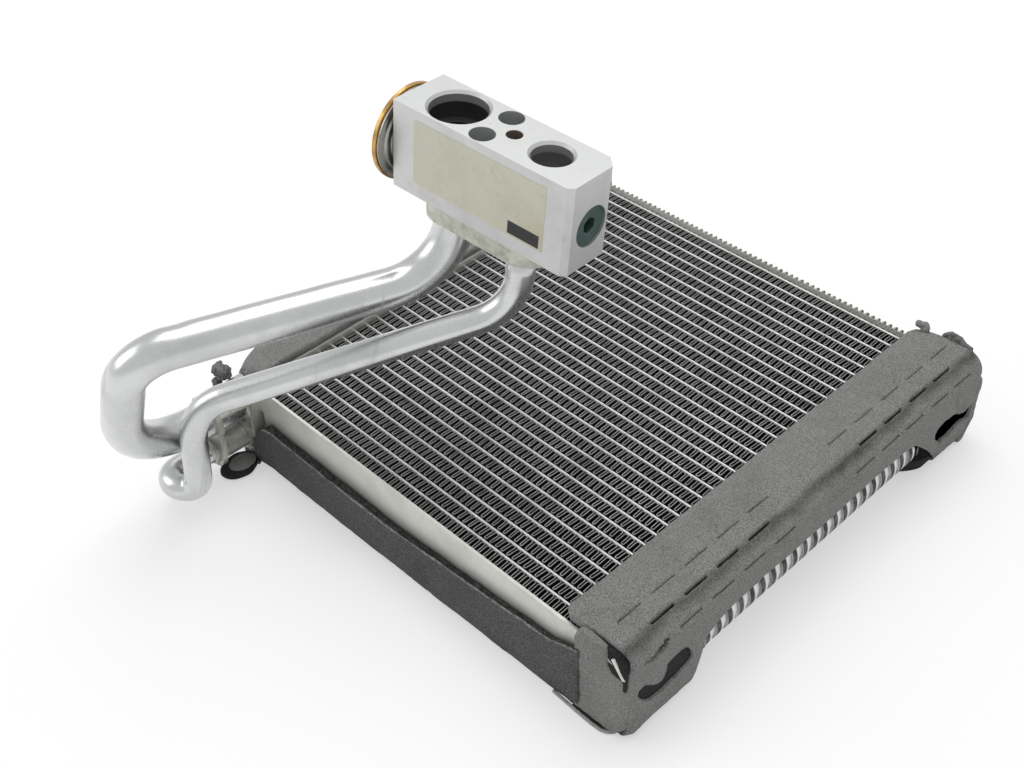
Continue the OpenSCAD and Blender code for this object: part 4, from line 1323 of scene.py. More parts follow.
@dataclass(frozen=True)
class ReturnFoam:
    """Foam over the return header: slit rows, a window over the ribs and lobed ends."""

    fin_end: float = 196.0
    near_y: float = -7.6
    far_y: float = 225.2
    thickness: float = 3.3
    section: WrapSection = WrapSection(-10.5, 25.0, 5.0, -42.9, 9.0, 5.5)
    lower_edge: Line = (
        (17.0, 56.0), (20.0, 46.0), (26.0, 41.5), (29.5, 38.0), (31.5, 32.0), (33.2, 27.0),
        (34.2, 18.6), (40.0, 16.0), (47.0, 14.2), (54.0, 13.0), (70.0, 12.5), (150.0, 12.2),
        (168.0, 12.6), (176.0, 15.1), (184.5, 22.6), (192.0, 29.8), (197.0, 36.5), (198.5, 42.0),
        (200.0, 56.0))
    flap_near: Line = (
        (0.0, -2.6), (1.2, -5.0), (3.0, -6.2), (9.0, -6.6), (17.0, -5.4), (27.0, -5.4),
        (35.0, -5.8), (41.0, -7.6))
    flap_far: Line = (
        (0.0, 219.0), (1.5, 222.4), (5.0, 224.0), (13.0, 225.0), (20.0, 225.2))
    end_top: Line = (
        (193.4, -2.2), (194.6, 1.5), (196.0, 4.2), (198.0, 4.9), (204.0, 4.7), (207.5, 4.2),
        (209.3, 2.6), (210.5, -0.5), (211.3, -3.6), (213.0, -6.0), (215.0, -6.5), (221.0, -6.2))
    far_top: Line = (
        (197.0, 1.0), (200.0, 3.6), (206.0, 4.4), (211.0, 3.6), (214.2, 1.4), (215.4, -1.0),
        (217.8, -5.0), (219.6, -8.3), (221.3, -9.0))
    lip_line: Line = (
        (184.0, -10.6), (197.0, -11.1), (205.0, -11.3), (209.5, -11.0), (212.0, -10.0), (213.6, -8.4),
        (214.6, -6.0), (215.4, -2.0))
    presses: tuple[Press, ...] = (
        Press(0.9, 0.6, -6.0, 0.12, 1.3, 6.5), Press(0.9, -3.4, -28.0, 0.0, 0.9, 9.0),
        Press(1.3, 0.5, 2.2, 0.0, 3.4, 2.2), Press(0.8, 205.672, -10.0, 0.23, 1.4, 7.0),
        Press(0.7, 221.0, -8.0, 0.0, 2.5, 6.0))
    flap_droop: float = 1.7
    flap_reach: float = 16.5
    end_reach: float = 7.0
    foot_z: float = -33.0
    foot_height: float = 9.9
    foot_pull: float = 7.0
    foot_fade: float = 14.0
    corner_y: float = -4.5
    corner_slope: float = 0.62
    free_rows: int = 52
    full_depth: float = 56.0
    edge_waves: tuple[float, float] = (0.5, 17.0)
    wall_u: float = 19.0
    cuts_top_z: float = -11.0
    snap_reach: float = 1.4
    hem_z: float = -42.3
    broad_ripple: Ripple = (0.45, 16.0, 5.0)
    fine_ripple: Ripple = (0.15, 3.0, 9.0)
    near_block: tuple[Place, Place] = ((193.4, -9.7, -42.2), (219.6, -5.9, 5.0))
    near_lean: tuple[float, float] = (2.2, 1.6)
    notch_z: float = -34.0
    notch_height: float = 8.2
    notch_pull: float = 4.4
    near_ripples: tuple[Ripple, Ripple] = ((0.5, 9.0, 13.0), (0.16, 3.0, 3.0))
    creases: tuple[Crease, ...] = (
        Crease(199.5, 0.10, 5.5), Crease(202.6, -0.16, 7.5), Crease(205.6, -0.06, 7.0))
    far_block: tuple[Place, Place] = ((197.0, 224.6, -42.4), (221.2, 229.2, 4.4))
    far_pull: float = 7.5
    far_ripples: tuple[Ripple, Ripple] = ((0.6, 9.0, 17.0), (0.2, 3.0, 3.0))
    end_radius: float = 1.6
    curl: tuple[Place, Place] = ((186.0, 222.6, 4.2), (192.6, 226.2, 7.0))
    curl_ripple: Ripple = (1.6, 3.0, 7.0)
    lip_half: float = 0.65
    lip_z: tuple[float, float] = (-42.85, -41.5)
    torn_edge: tuple[Place, Place] = ((198.6, 225.4, 1.0), (213.6, 228.8, 6.0))
    torn_rise: float = 1.6
    torn_fall: float = 2.6
    torn_ripples: tuple[Ripple, Ripple] = ((1.5, 4.0, 27.0), (0.5, 1.4, 29.0))
    # Dark blocks and sheets stand in for shade: painted shade in the slot by the tab and behind the bean
    # and the scoop, painted shadow in the groove under the near end.
    slot_shade: tuple[Place, Place] = ((207.6, -9.1, -9.0), (219.0, -5.6, 3.2))
    groove: tuple[Place, Place] = ((194.0, -10.3, -42.8), (213.0, -9.0, -41.6))
    shade_sheet_thickness: float = 0.3
    bean_shade: Patch = Patch(24.0, -4.8, -12.0, 33.0, 16.5)
    scoop_shade: Patch = Patch(23.6, 182.0, -13.0, 42.0, 29.6)
    window_end_y: float = 194.0
    turn_reach: float = 12.0
    turn_depth: float = 5.9
    turn_lift: float = 3.0
    shade_foot: float = 0.75
    foot_slope: float = 8.0
    slot_bend: tuple[float, float] = (210.0, 0.052)
    slot_tip: tuple[float, float] = (-2.0, 0.3)
    groove_bend: tuple[float, float] = (209.0, 0.12)

    def rows(self) -> list[float]:
        """Fixed line lengths, with both edges of every slit row among them."""
        fold = self.section.lengths()[0]
        marks = [0.0, 0.8, 1.6, 3.0, 5.0, 7.5, 10.0, 13.0, 16.0, 17.6, 18.6, 19.2, 20.2, 22.0,
                 24.0, 26.2, 27.2, 28.5]
        marks += [fold + step for step in (3.2, 4.6, 6.0, 7.4, 8.2, 9.2, 10.1, 10.8, 11.4, 12.2,
                                           13.0, 13.8, 14.6)]
        return marks

    def slits(self) -> tuple[SlitRow, SlitRow, SlitRow]:
        """The thin row on the flap, the wide row by the fold and the row on the fold."""
        fold = self.section.lengths()[0]
        return (SlitRow(18.6, 19.2, ((2.4, 18.9, 5), (131.3, 19.0, 5))),
                SlitRow(27.2, 28.5, ((10.6, 18.8, 4), (139.8, 18.6, 4))),
                SlitRow(fold + 9.2, fold + 10.1, ((19.0, 19.2, 4), (130.2, 18.2, 5))))

    def openings(self) -> tuple[CutOut, CutOut]:
        """The bean in the near lobe and the scoop in the far one, as places along and heights."""
        bean = CutOut((-4.0, -16.0), (-1.0, -14.0), (4.5, -18.8), (9.4, -20.8), (12.1, -17.2),
                      (13.4, -13.4), (23.0, -13.8), (27.2, -22.2), (24.5, -24.8), (12.0, -26.8),
                      (3.0, -25.8), (-2.5, -20.0))
        scoop = CutOut((193.0, -21.1), (197.0, -17.0), (206.9, -17.6), (212.8, -21.0),
                       (217.4, -22.3), (222.9, -21.7), (222.6, -28.6), (214.5, -27.0),
                       (204.6, -29.0), (196.4, -26.4))
        return bean, scoop

    def lens(self) -> CutOut:
        """The pinched slit on the near fold, as places along and line lengths."""
        fold = self.section.lengths()[0]
        return CutOut((-0.2, fold + 12.6), (6.0, fold + 10.9), (13.8, fold + 9.0),
                      (10.8, fold + 12.9), (5.0, fold + 14.0))

    def pressed(self, y: float, z: float) -> float:
        """How far creases and dents press the surface in, at a place on it."""
        return sum(press.at(y, z) for press in self.presses)

    def place(self, length: float, y: float) -> Vector:
        """A point of the outer surface in core millimetres."""
        u, z = self.section.at(length)
        if u < 6.0 and length < 20.0:
            past = max(u - self.section.start_u, 0.0)
            z -= self.flap_droop * (1.0 - past / self.flap_reach) ** 2
        near_share = max(0.0, 1.0 - (y - self.near_y) / self.end_reach)
        far_share = max(0.0, 1.0 - (self.far_y - y) / self.end_reach)
        y += ((along(self.flap_near, length) - self.near_y) * near_share
              + (along(self.flap_far, length) - self.far_y) * far_share)
        if z < self.foot_z:
            pull = self.foot_pull * (self.foot_z - z) / self.foot_height
            y -= pull * max(0.0, 1.0 - (self.far_y - y) / self.foot_fade)
        press = self.pressed(y, z)
        on_fold = z > -1.0
        u -= press * (0.8 if on_fold else 1.0)
        z -= press * (0.8 if on_fold else 0.0)
        if u > 12.0:
            u -= self.corner_slope * max(0.0, self.corner_y - y)
        return Vector((self.fin_end + u, y, z))

    def sheet(self, finishes: Finishes) -> bpy.types.Object:
        """Makes the wrapped sheet."""
        form = Form()
        rows = self.rows()
        fixed, free = len(rows) - 1, self.free_rows
        steps = round(self.far_y - self.near_y)
        length_of = form.bm.verts.layers.float.new("length")
        spots = []

        def place(u: float, v: float) -> Vector:
            """A point of the sheet from its two shares."""
            row = round(u * (fixed + free))
            y = self.near_y + v * (self.far_y - self.near_y)
            length = rows[min(row, fixed)]
            if row > fixed:
                height, span = self.edge_waves
                wavy = height * noise.noise(Vector((y / span, 0.3, 0.0)))
                depth = along(self.lower_edge, y) if y > self.lower_edge[0][0] else self.full_depth
                edge = min(self.section.depth_length(depth), self.section.total()) + wavy
                length += (edge - length) * (row - fixed) / free
            spots.append(length)
            return self.place(length, y)

        verts = form.grid(fixed + free, steps, place)
        for v, length in zip(verts, spots):
            v[length_of] = length
        self.cut(form, length_of)
        self.snap(form)
        form.ruffle(form.bm.verts, *self.broad_ripple)
        form.keep_above(self.hem_z)
        form.ruffle(form.bm.verts, *self.fine_ripple)
        form.face_up()
        return form.hand_over("return_foam_sheet", finishes["banded_foam"],
                              ["return_foam"], smooth=50.0, tidy=False, wall=self.thickness)

    def cut(self, form: Form, length_of: bmesh.types.BMLayerItem) -> None:
        """Takes the slits and the openings out of the sheet.

        Args:
            form: the form that holds the sheet.
            length_of: layer with each point's line length.
        """
        bean, scoop = self.openings()
        lens = self.lens()
        gone = []
        for face in form.bm.faces:
            middle = face.calc_center_median()
            y, z = middle.y, middle.z
            length = sum(v[length_of] for v in face.verts) / len(face.verts)
            wall = middle.x > self.fin_end + self.section.outer_u - 5.0 and z < -5.0
            if (any(row.holds(length, y) for row in self.slits())
                    or (wall and (bean.covers(y, z) or scoop.covers(y, z)))
                    or lens.covers(y, length)):
                gone.append(face)
        bmesh.ops.delete(form.bm, geom=gone, context="FACES")

    def snap(self, form: Form) -> None:
        """Lays the openings' ragged edges on their outlines and evens them out."""
        reach = self.snap_reach
        for v in form.bm.verts:
            if (not v.is_boundary or v.co.z > self.cuts_top_z
                    or v.co.x < self.fin_end + self.wall_u):
                continue
            for opening in self.openings():
                if opening.near(v.co.y, v.co.z, reach):
                    found = opening.nearest(v.co.y, v.co.z)
                    if (found - v.co.yz).length < reach:
                        v.co.y, v.co.z = found
        rim = [v for v in form.bm.verts if v.is_boundary and v.co.z < self.cuts_top_z]
        for _ in range(2):
            bmesh.ops.smooth_vert(form.bm, verts=rim, factor=0.5, use_axis_x=True,
                                  use_axis_y=True, use_axis_z=True)

    def near_end(self, form: Form) -> None:
        """Adds the folded-up ear and face at the near end, with its creases."""
        low, high = (Vector(corner) for corner in self.near_block)
        swing, inward = self.near_lean
        verts = form.block(low, high, self.end_radius, 62, 4)
        for v in verts:
            x, share = v.co.x, (v.co.z - low.z) / (high.z - low.z)
            out = (x - low.x) / (high.x - low.x)
            depth = (v.co.y - low.y) / (high.y - low.y)
            v.co.z = low.z + share * (along(self.end_top, x) - low.z)
            z = v.co.z
            v.co.x += (depth * swing - inward) * out * out
            foot = max(0.0, (self.notch_z - z) / self.notch_height)
            v.co.x -= self.notch_pull * foot ** 1.5 * out ** 3
            v.co.y += sum(crease.at(x, z) for crease in self.creases) * (1.0 - depth)
        form.ruffle_all(verts, self.near_ripples)
        form.keep()

    def ends(self, finishes: Finishes) -> bpy.types.Object:
        """Makes both folded ends and the curl at the far flap."""
        form = Form()
        self.near_end(form)
        low, high = (Vector(corner) for corner in self.far_block)
        verts = form.block(low, high, self.end_radius, 40, 4)
        for v in verts:
            share = (v.co.z - low.z) / (high.z - low.z)
            v.co.z = low.z + share * (along(self.far_top, v.co.x) - low.z)
            v.co.y -= self.far_pull * max(0.0, (self.foot_z - v.co.z) / self.foot_height)
        form.ruffle_all(verts, self.far_ripples)
        curl = form.block(*self.curl, 1.2, 10, 3)
        form.ruffle(curl, *self.curl_ripple)
        return form.hand_over("return_foam_ends", finishes["grey_foam"], smooth=60.0)

    def lip(self, finishes: Finishes) -> bpy.types.Object:
        """Makes the pale rolled lip along the foot of the near end."""
        form = Form()
        line = [Vector(q) for q in self.lip_line]
        spans = [(b - a).length for a, b in zip(line, line[1:])]
        low_z, high_z = self.lip_z
        strip = form.block((0.0, -self.lip_half, low_z), (sum(spans), self.lip_half, high_z),
                           0.5, 60, 3)
        for v in strip:
            away, i = v.co.x, 0
            while i < len(spans) - 1 and away > spans[i]:
                away -= spans[i]
                i += 1
            step = (line[i + 1] - line[i]).normalized()
            v.co.xy = line[i] + step * away + Vector((-step.y, step.x)) * v.co.y
        return form.hand_over("return_foam_lip", finishes["pale_foam"], smooth=60.0)

    def lumps(self, finishes: Finishes) -> bpy.types.Object:
        """Makes the torn, darker lumps along the far top edge."""
        form = Form()
        low, high = self.torn_edge
        verts = form.block(low, high, 1.5, 22, 4)
        for v in verts:
            share = (v.co.x - low[0]) / (high[0] - low[0])
            rise = self.torn_rise * math.sin(math.pi * min(share * 1.3, 1.0))
            v.co.z += rise - self.torn_fall * share ** 4
        form.ruffle_all(verts, self.torn_ripples)
        return form.hand_over("return_foam_lumps", finishes["mottled_foam"], smooth=60.0)

    def shade_sheets(self, finishes: Finishes) -> bpy.types.Object:
        """Makes the black sheets of painted shade that show through the openings and beside the ribs, and
        the dark blocks of painted shade in the slot and the groove.
        """
        form = Form()
        bean, scoop = self.bean_shade, self.scoop_shade

        def near(u: float, v: float) -> Vector:
            """A point behind the bean from its two shares."""
            y, z = bean.start_y + bean.length * v, bean.top_z - bean.height * u
            return Vector((self.fin_end + bean.u - self.pressed(y, z), y, z))

        def far(u: float, v: float) -> Vector:
            """A point behind the scoop and at the window's end from its two shares."""
            y = scoop.start_y + scoop.length * v
            turn = max(0.0, (self.window_end_y - y) / self.turn_reach)
            inward = self.turn_depth * turn ** 1.6
            foot = self.foot_slope * max(0.0, u - self.shade_foot)
            return Vector((self.fin_end + scoop.u - inward - foot, y,
                           scoop.top_z - scoop.height * u + self.turn_lift * turn * (u - 0.5)))

        # sheets of painted shade behind the bean and the scoop
        form.grid(16, 20, near)
        form.keep()
        form.grid(20, 42, far)
        bmesh.ops.solidify(form.bm, geom=form.bm.faces[:], thickness=self.shade_sheet_thickness)
        form.keep()
        # a dark block of painted shade in the slot by the tab
        slot = form.block(*self.slot_shade, 0.8, 16, 3)
        bend_x, bend = self.slot_bend
        tip_z, tip = self.slot_tip
        for v in slot:
            v.co.z -= bend * max(0.0, v.co.x - bend_x) ** 2
            v.co.y += tip * max(0.0, v.co.z - tip_z)
        # a dark strip of painted shadow in the groove under the near end
        groove = form.block(*self.groove, 0.3, 16, 2)
        bend_x, bend = self.groove_bend
        for v in groove:
            v.co.y += bend * max(0.0, v.co.x - bend_x) ** 2
        return form.hand_over("return_foam_shade_sheets", finishes["black_foam"])

    def build(self, finishes: Finishes) -> None:
        """Makes every part of the return header's foam."""
        self.sheet(finishes)
        self.ends(finishes)
        self.lip(finishes)
        self.lumps(finishes)
        self.shade_sheets(finishes)


@dataclass(frozen=True)
class InletFoam:
    """Foam over the pipe-side header, with a rough-cut near end."""

    near_y: float = 1.0
    far_y: float = 226.5
    thickness: float = 3.2
    near_edge: Line = (
        (0.0, 1.0), (3.0, -4.0), (10.0, -6.5), (14.0, -11.0), (20.0, -13.4), (60.0, -13.6))
    section: WrapSection = WrapSection(3.2, 25.0, 5.0, -42.9, 8.0)
    ripples: tuple[Ripple, Ripple] = ((0.6, 15.0, 21.0), (0.2, 3.0, 2.0))
    near_reach: float = 10.0
    far_reach: float = 9.0
    tuck_in: float = 2.0
    tuck_down: float = 1.4
    ragged: float = 1.2
    far_block: tuple[Place, Place] = ((-24.0, 225.4, -42.4), (-3.0, 229.5, 3.6))
    far_ripple: Ripple = (1.1, 9.0, 31.0)
    torn_top: tuple[Place, Place] = ((-24.6, -15.4, -2.2), (-16.2, -9.8, 4.4))
    torn_side: tuple[Place, Place] = ((-24.8, -17.2, -9.6), (-20.4, -13.0, -3.6))
    torn_edge: tuple[Place, Place] = ((-12.5, -8.4, 0.8), (-5.5, -4.2, 4.4))
    torn_ripples: tuple[Ripple, Ripple] = ((1.5, 4.0, 33.0), (0.5, 1.5, 35.0))

    def place(self, length: float, y: float) -> Vector:
        """A point of the outer surface in core millimetres."""
        u, z = self.section.at(length)
        ends = max(0.0, 1.0 - (y - self.near_y) / self.near_reach,
                   1.0 - (self.far_y - y) / self.far_reach)
        u -= self.tuck_in * ends * ends * (1.0 if u > 12 else 0.0)
        z -= self.tuck_down * ends * ends if z > -10 else 0.0
        return Vector((-u, y, z))

    def build(self, finishes: Finishes) -> None:
        """Makes the sheet, its closed far end and the torn lumps at its near end."""
        form = Form()
        total = self.section.total()

        def place(u: float, v: float) -> Vector:
            """A point of the sheet from its two shares."""
            y = self.near_y + v * (self.far_y - self.near_y)
            ragged = self.ragged * noise.noise(Vector((u * 12.0, 1.0, 2.0)))
            shift = along(self.near_edge, u * total) + ragged - self.near_y
            return self.place(u * total, y + shift * max(0.0, 1.0 - v * 9.0))

        form.grid(64, 200, place)
        form.ruffle_all(form.bm.verts, self.ripples)
        form.face_up()
        form.hand_over("inlet_foam_sheet", finishes["grey_foam"], ["inlet_foam"],
                       smooth=50.0, tidy=False, wall=self.thickness)
        ends = Form()
        ends.ruffle(ends.block(*self.far_block, 1.9, 22, 4), *self.far_ripple)
        ends.hand_over("inlet_foam_ends", finishes["grey_foam"], smooth=60.0)
        cut = Form()
        lumps = cut.block(*self.torn_top, 1.6, 16, 4)
        lumps += cut.block(*self.torn_side, 1.4, 12, 3)
        lumps += cut.block(*self.torn_edge, 1.2, 14, 3)
        cut.ruffle_all(lumps, self.torn_ripples)
        cut.hand_over("inlet_foam_cut", finishes["mottled_foam"], smooth=60.0)


@dataclass(frozen=True)
class SideFoam:
    """Dark foam along the near side plate, folded under the core."""

    start: float = -5.5
    end: float = 197.0
    outer_y: float = -12.6
    inner_y: float = -8.1
    floor_z: float = -42.9
    top_z: float = -9.0
    top_waves: tuple[float, float] = (0.35, 9.0)
    taper_x: float = 60.0
    taper: float = 2.0
    flare_x: float = 6.0
    flare: float = 1.2
    tuck: float = 1.1
    slant_reach: float = 22.0
    flap_height: float = 4.2
    flap_in_y: float = 1.0
    ripples: tuple[Ripple, Ripple] = ((0.4, 11.0, 41.0), (0.15, 2.5, 43.0))
    upper: Line = (
        (-5.5, -18.6), (-2.5, -17.2), (9.5, -17.5), (90.0, -18.9), (140.0, -15.7), (183.0, -12.5),
        (192.0, -8.4), (197.0, -7.0))
    slant: Line = (
        (-43.0, -3.0), (-37.0, -4.0), (-31.5, -6.0), (-22.0, 1.0), (-17.5, 5.0))

    def build(self, finishes: Finishes) -> bpy.types.Object:
        """Makes the strip and its flap under the core."""
        form = Form()
        low, high = (self.start, self.outer_y, self.floor_z), (self.end, self.inner_y, self.top_z)
        verts = form.block(low, high, 1.0, 110, 4)
        depth, height = self.inner_y - self.outer_y, self.top_z - self.floor_z
        uv = form.bm.loops.layers.uv.new("strip")
        for face in form.bm.faces:
            for loop in face.loops:
                at = loop.vert.co
                loop[uv].uv = ((self.inner_y - at.y) / depth, (at.z - self.floor_z) / height)
        rise, span = self.top_waves
        for v in verts:
            share = (v.co.z - self.floor_z) / height
            out = (self.inner_y - v.co.y) / depth
            top = along(self.upper, v.co.x) + rise * noise.noise(Vector((v.co.x / span, 0.0, 5.0)))
            v.co.z = self.floor_z + share * (top - self.floor_z)
            tapered = max(0.0, (v.co.x - self.taper_x) / (self.end - self.taper_x))
            flared = max(0.0, (self.flare_x - v.co.x) / (self.flare_x - self.start))
            tucked = max(0.0, 1.0 - share * 5.0)
            v.co.y += out * (self.taper * tapered - self.flare * flared + self.tuck * tucked)
            v.co.z += 0.5 * hollow(out - 0.93, share - 1.0, 0.12, 0.05)
            near_start = max(0.0, 1.0 - (v.co.x - self.start) / self.slant_reach)
            v.co.x += near_start * (along(self.slant, v.co.z) - self.start)
        flap = form.block((1.0, self.inner_y - 1.0, self.floor_z),
                          (self.end, self.flap_in_y, self.floor_z + self.flap_height),
                          1.0, 60, 3)
        form.ruffle_all(verts + flap, self.ripples)
        return form.hand_over("side_foam_strip", finishes["ridged_foam"],
                              ["side_foam"], smooth=60.0)


@dataclass(frozen=True)
class EndPad:
    """Black oval pad of foam under the sleeve, with a paler disc on it."""

    middle: Place = (-5.6, -22.0, -42.7)
    half_width: float = 6.9
    half_length: float = 9.2
    height: float = 3.6
    rounding: float = 0.9
    chamfer: float = 0.06
    ripple: Ripple = (0.4, 5.0, 51.0)
    disc_share: float = 0.74
    disc_sunk: float = 0.4
    disc_proud: float = 0.5
    disc_moved: Place = (1.0, 1.6, 0.0)
    disc_ripple: Ripple = (0.25, 5.0, 53.0)

    def puck(self, form: Form, share: float, low: float, high: float) -> None:
        """Adds a rounded, flat oval.

        Args:
            form: the form to add it to.
            share: its size, as a share of the pad's.
            low: height of its lower face over the floor.
            high: height of its upper face over the floor.
        """
        edge = min(self.rounding, (high - low) / 2)
        inner = share - self.chamfer
        profile = [(0.0, low), (inner, low), (share, low + edge), (share, high - edge),
                   (inner, high), (0.0, high)]
        place = (Matrix.Translation(self.middle)
                 @ Matrix.Diagonal((self.half_width, self.half_length, 1.0, 1.0)))
        form.turned(profile, place, 56)

    def build(self, finishes: Finishes) -> None:
        """Makes the pad and the pale disc on it."""
        form = Form()
        self.puck(form, 1.0, 0.0, self.height)
        form.ruffle(form.bm.verts, *self.ripple)
        form.hand_over("end_pad", finishes["black_foam"], ["inlet_end_pad"],
                       smooth=60.0)
        disc = Form()
        self.puck(disc, self.disc_share, self.height - self.disc_sunk, self.height + self.disc_proud)
        bmesh.ops.translate(disc.bm, verts=disc.bm.verts, vec=self.disc_moved)
        disc.ruffle(disc.bm.verts, *self.disc_ripple)
        disc.hand_over("end_pad_disc", finishes["grey_foam"], smooth=60.0)


# Valve


@dataclass(frozen=True)
class Label:
    """Blank film on the valve block's near side."""

    start_x: float = 10.8
    length: float = 65.2
    low_z: float = -32.0
    height: float = 28.0
    corner: float = 3.0
    corner_share: float = 0.66
    face_y: float = -13.7
    film: float = 0.15
    clearance: float = 0.02

    def build(self, finishes: Finishes) -> bpy.types.Object:
        """Makes the film and its own map in millimetres."""
        form = Form()
        verts = form.grid(32, 14, lambda u, v: Vector((u * self.length, v * self.height, 0.0)))
        corners = [v for v in verts if v.co.x in (0.0, self.length) and v.co.y in (0.0, self.height)]
        bmesh.ops.bevel(form.bm, geom=corners, offset=self.corner * self.corner_share,
                        offset_type="OFFSET", affect="VERTICES", segments=5, profile=0.5, material=-1,
                        clamp_overlap=True)
        uv = form.bm.loops.layers.uv.new("label")
        bmesh.ops.solidify(form.bm, geom=form.bm.faces[:], thickness=self.film)
        for face in form.bm.faces:
            for loop in face.loops:
                loop[uv].uv = (loop.vert.co.x, loop.vert.co.y)
        y = self.face_y - self.film / 2 - self.clearance
        upright = Matrix.Rotation(math.pi / 2, 4, "X")
        place = VALVE.matrix() @ Matrix.Translation((self.start_x, y, self.low_z)) @ upright
        bmesh.ops.transform(form.bm, matrix=place, verts=form.bm.verts[:])
        return form.hand_over("blank_label", finishes["label_film"], ["valve_label"])


class CadDress:
    """Gives each CAD node that stays its finish."""

    FINISH = {
        "tubes_upper": "tube_metal", "tubes_lower": "tube_metal", "fins": "fin_metal",
        "side_plate_near": "plate_metal", "side_plate_far": "plate_metal",
        "inlet_header_plate": "plate_metal", "return_header_plate": "plate_metal",
        "inlet_tank": "tank_metal", "return_tank": "ribbed_metal",
        "inlet_tank_caps": "brazed_metal", "return_tank_caps": "brazed_metal",
        "inlet_baffles": "brazed_metal", "suction_pipe": "pipe_metal", "liquid_pipe": "pipe_metal",
        "liquid_sleeve": "brazed_metal", "pipe_tie_plate": "brazed_metal",
        "flange_plate": "flange_metal", "flange_bolts": "bolt_metal",
        "suction_seal": "seal_rubber", "liquid_seal": "seal_rubber", "rod_seal": "seal_rubber",
        "valve_body": "block_metal", "head_inner_shell": "shell_metal",
        "head_outer_shell": "gold_metal", "diaphragm": "steel_metal",
        "diaphragm_pad": "steel_metal", "sensing_rod": "steel_metal", "valve_ball": "steel_metal",
        "ball_carrier": "brass_metal", "valve_spring": "spring_wire",
        "adjusting_plug": "plug_anodised", "charge_plug": "copper_metal",
        "valve_label": "label_film", "return_foam": "grey_foam", "side_foam": "dark_foam",
        "inlet_foam": "grey_foam", "inlet_end_pad": "black_foam",
    }

    def dress(self, finishes: Finishes) -> None:
        """Assigns the finishes."""
        for name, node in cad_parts.items():
            finish = finishes[self.FINISH[name]]
            if node.material_slots:
                for slot in node.material_slots:
                    slot.material = finish
            else:
                node.data.materials.append(finish)


# Studio


@dataclass(frozen=True)
class Softbox:
    """A square soft light that faces the object: its place and size in metres, and its watts."""

    name: str
    spot: Place
    size: float
    power: float


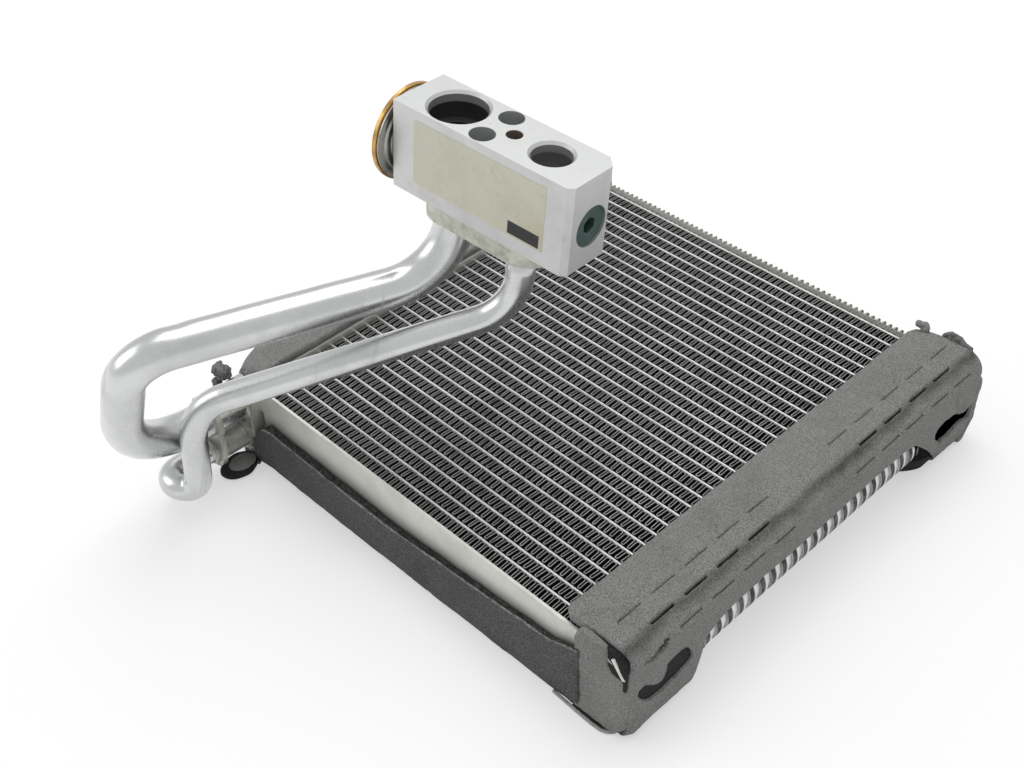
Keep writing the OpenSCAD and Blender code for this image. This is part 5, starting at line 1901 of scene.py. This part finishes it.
@dataclass(frozen=True)
class Studio:
    """Floor, soft light and the camera at the photograph's angle."""

    azimuth: float = 46.724
    elevation: float = 41.041
    roll: float = -1.982
    distance: float = 604.41
    target: Place = (78.834, 72.310, 0.0)
    focal_pixels: float = 1368.68
    image_width: int = 1024
    sensor: float = 36.0
    clip: tuple[float, float] = (0.02, 20.0)
    floor_glow: float = 0.45
    floor_half: float = 4.0
    floor_colour: Colour = (0.93, 0.93, 0.925)
    world_strength: float = 0.72
    world_colour: Colour = (0.98, 0.99, 1.0)
    softboxes: tuple[Softbox, ...] = (
        Softbox("top_softbox", (-0.25, 0.35, 1.25), 1.1, 8.0),
        Softbox("side_softbox", (-0.9, -0.9, 0.7), 0.8, 3.0))

    def camera(self) -> None:
        """Makes the camera."""
        a, e, r = (math.radians(v) for v in (self.azimuth, self.elevation, self.roll))
        back = Vector((math.sin(a) * math.cos(e), -math.cos(a) * math.cos(e), math.sin(e)))
        level = Vector((0, 0, 1)).cross(back).normalized()
        above = back.cross(level)
        right = math.cos(r) * level + math.sin(r) * above
        up = -math.sin(r) * level + math.cos(r) * above
        spot = CORE.matrix() @ (Vector(self.target) + back * self.distance)
        data = bpy.data.cameras.new("photo_camera")
        data.sensor_width = self.sensor
        data.lens = self.focal_pixels * self.sensor / self.image_width
        data.clip_start, data.clip_end = self.clip
        camera = bpy.data.objects.new("photo_camera", data)
        camera.matrix_world = Matrix.Translation(spot) @ Matrix((right, up, back)).transposed().to_4x4()
        bpy.context.scene.collection.objects.link(camera)
        bpy.context.scene.camera = camera

    @staticmethod
    def lamp(box: Softbox) -> None:
        """Adds one soft light."""
        data = bpy.data.lights.new(box.name, "AREA")
        data.shape, data.size, data.energy = "SQUARE", box.size, box.power
        lamp = bpy.data.objects.new(box.name, data)
        lamp.location = box.spot
        lamp.rotation_mode = "QUATERNION"
        lamp.rotation_quaternion = (-Vector(box.spot)).to_track_quat("-Z", "Y")
        bpy.context.scene.collection.objects.link(lamp)

    def floor(self) -> None:
        """Makes the pale floor."""
        bm = bmesh.new()
        bmesh.ops.create_grid(bm, x_segments=1, y_segments=1, size=self.floor_half)
        mesh = bpy.data.meshes.new("pale_floor")
        bm.to_mesh(mesh)
        bm.free()
        floor = bpy.data.objects.new("pale_floor", mesh)
        bpy.context.scene.collection.objects.link(floor)
        recipe = Recipe("floor_paper")
        seen = recipe.node("ShaderNodeLightPath")
        camera, glossy = (SocketExpr(recipe, seen.outputs[n]) for n in ("Is Camera Ray", "Is Glossy Ray"))
        recipe.surface(Base_Color=self.floor_colour, Roughness=0.9, Specular_IOR_Level=0.1)
        glow = recipe.node("ShaderNodeEmission", None, {"Color": (1.0, 1.0, 1.0), "Strength": 1.0})
        share = (camera + glossy).math("MINIMUM", 1.0) * self.floor_glow
        mixed = recipe.node("ShaderNodeMixShader", None,
                            {0: share, 1: recipe.shader.outputs["BSDF"], 2: glow.outputs[0]})
        output = next(n for n in recipe.tree.nodes if n.type == "OUTPUT_MATERIAL")
        recipe.put(output.inputs["Surface"], mixed.outputs[0])
        mesh.materials.append(recipe.material)

    def world(self) -> None:
        """Lights the scene evenly from all round."""
        world = bpy.data.worlds.new("soft_world")
        world.use_nodes = True
        back = world.node_tree.nodes["Background"]
        back.inputs["Color"].default_value = (*self.world_colour, 1.0)
        back.inputs["Strength"].default_value = self.world_strength
        bpy.context.scene.world = world

    def build(self) -> None:
        """Sets up the whole studio."""
        bpy.context.scene.view_settings.view_transform = "Standard"
        self.camera()
        self.floor()
        self.world()
        for box in self.softboxes:
            self.lamp(box)


def main() -> None:
    """Builds and dresses every sub-assembly."""
    logging.basicConfig(level=logging.INFO, format="%(name)s %(message)s")
    finishes = Finishes()
    CadDress().dress(finishes)
    Studio().build()
    for part in (FinPack(), SideTab(), Pipework(), ReturnFoam(), InletFoam(), SideFoam(), EndPad(),
                 Label()):
        part.build(finishes)
        LOG.info("built %s", type(part).__name__)


if __name__ == "__main__":
    main()
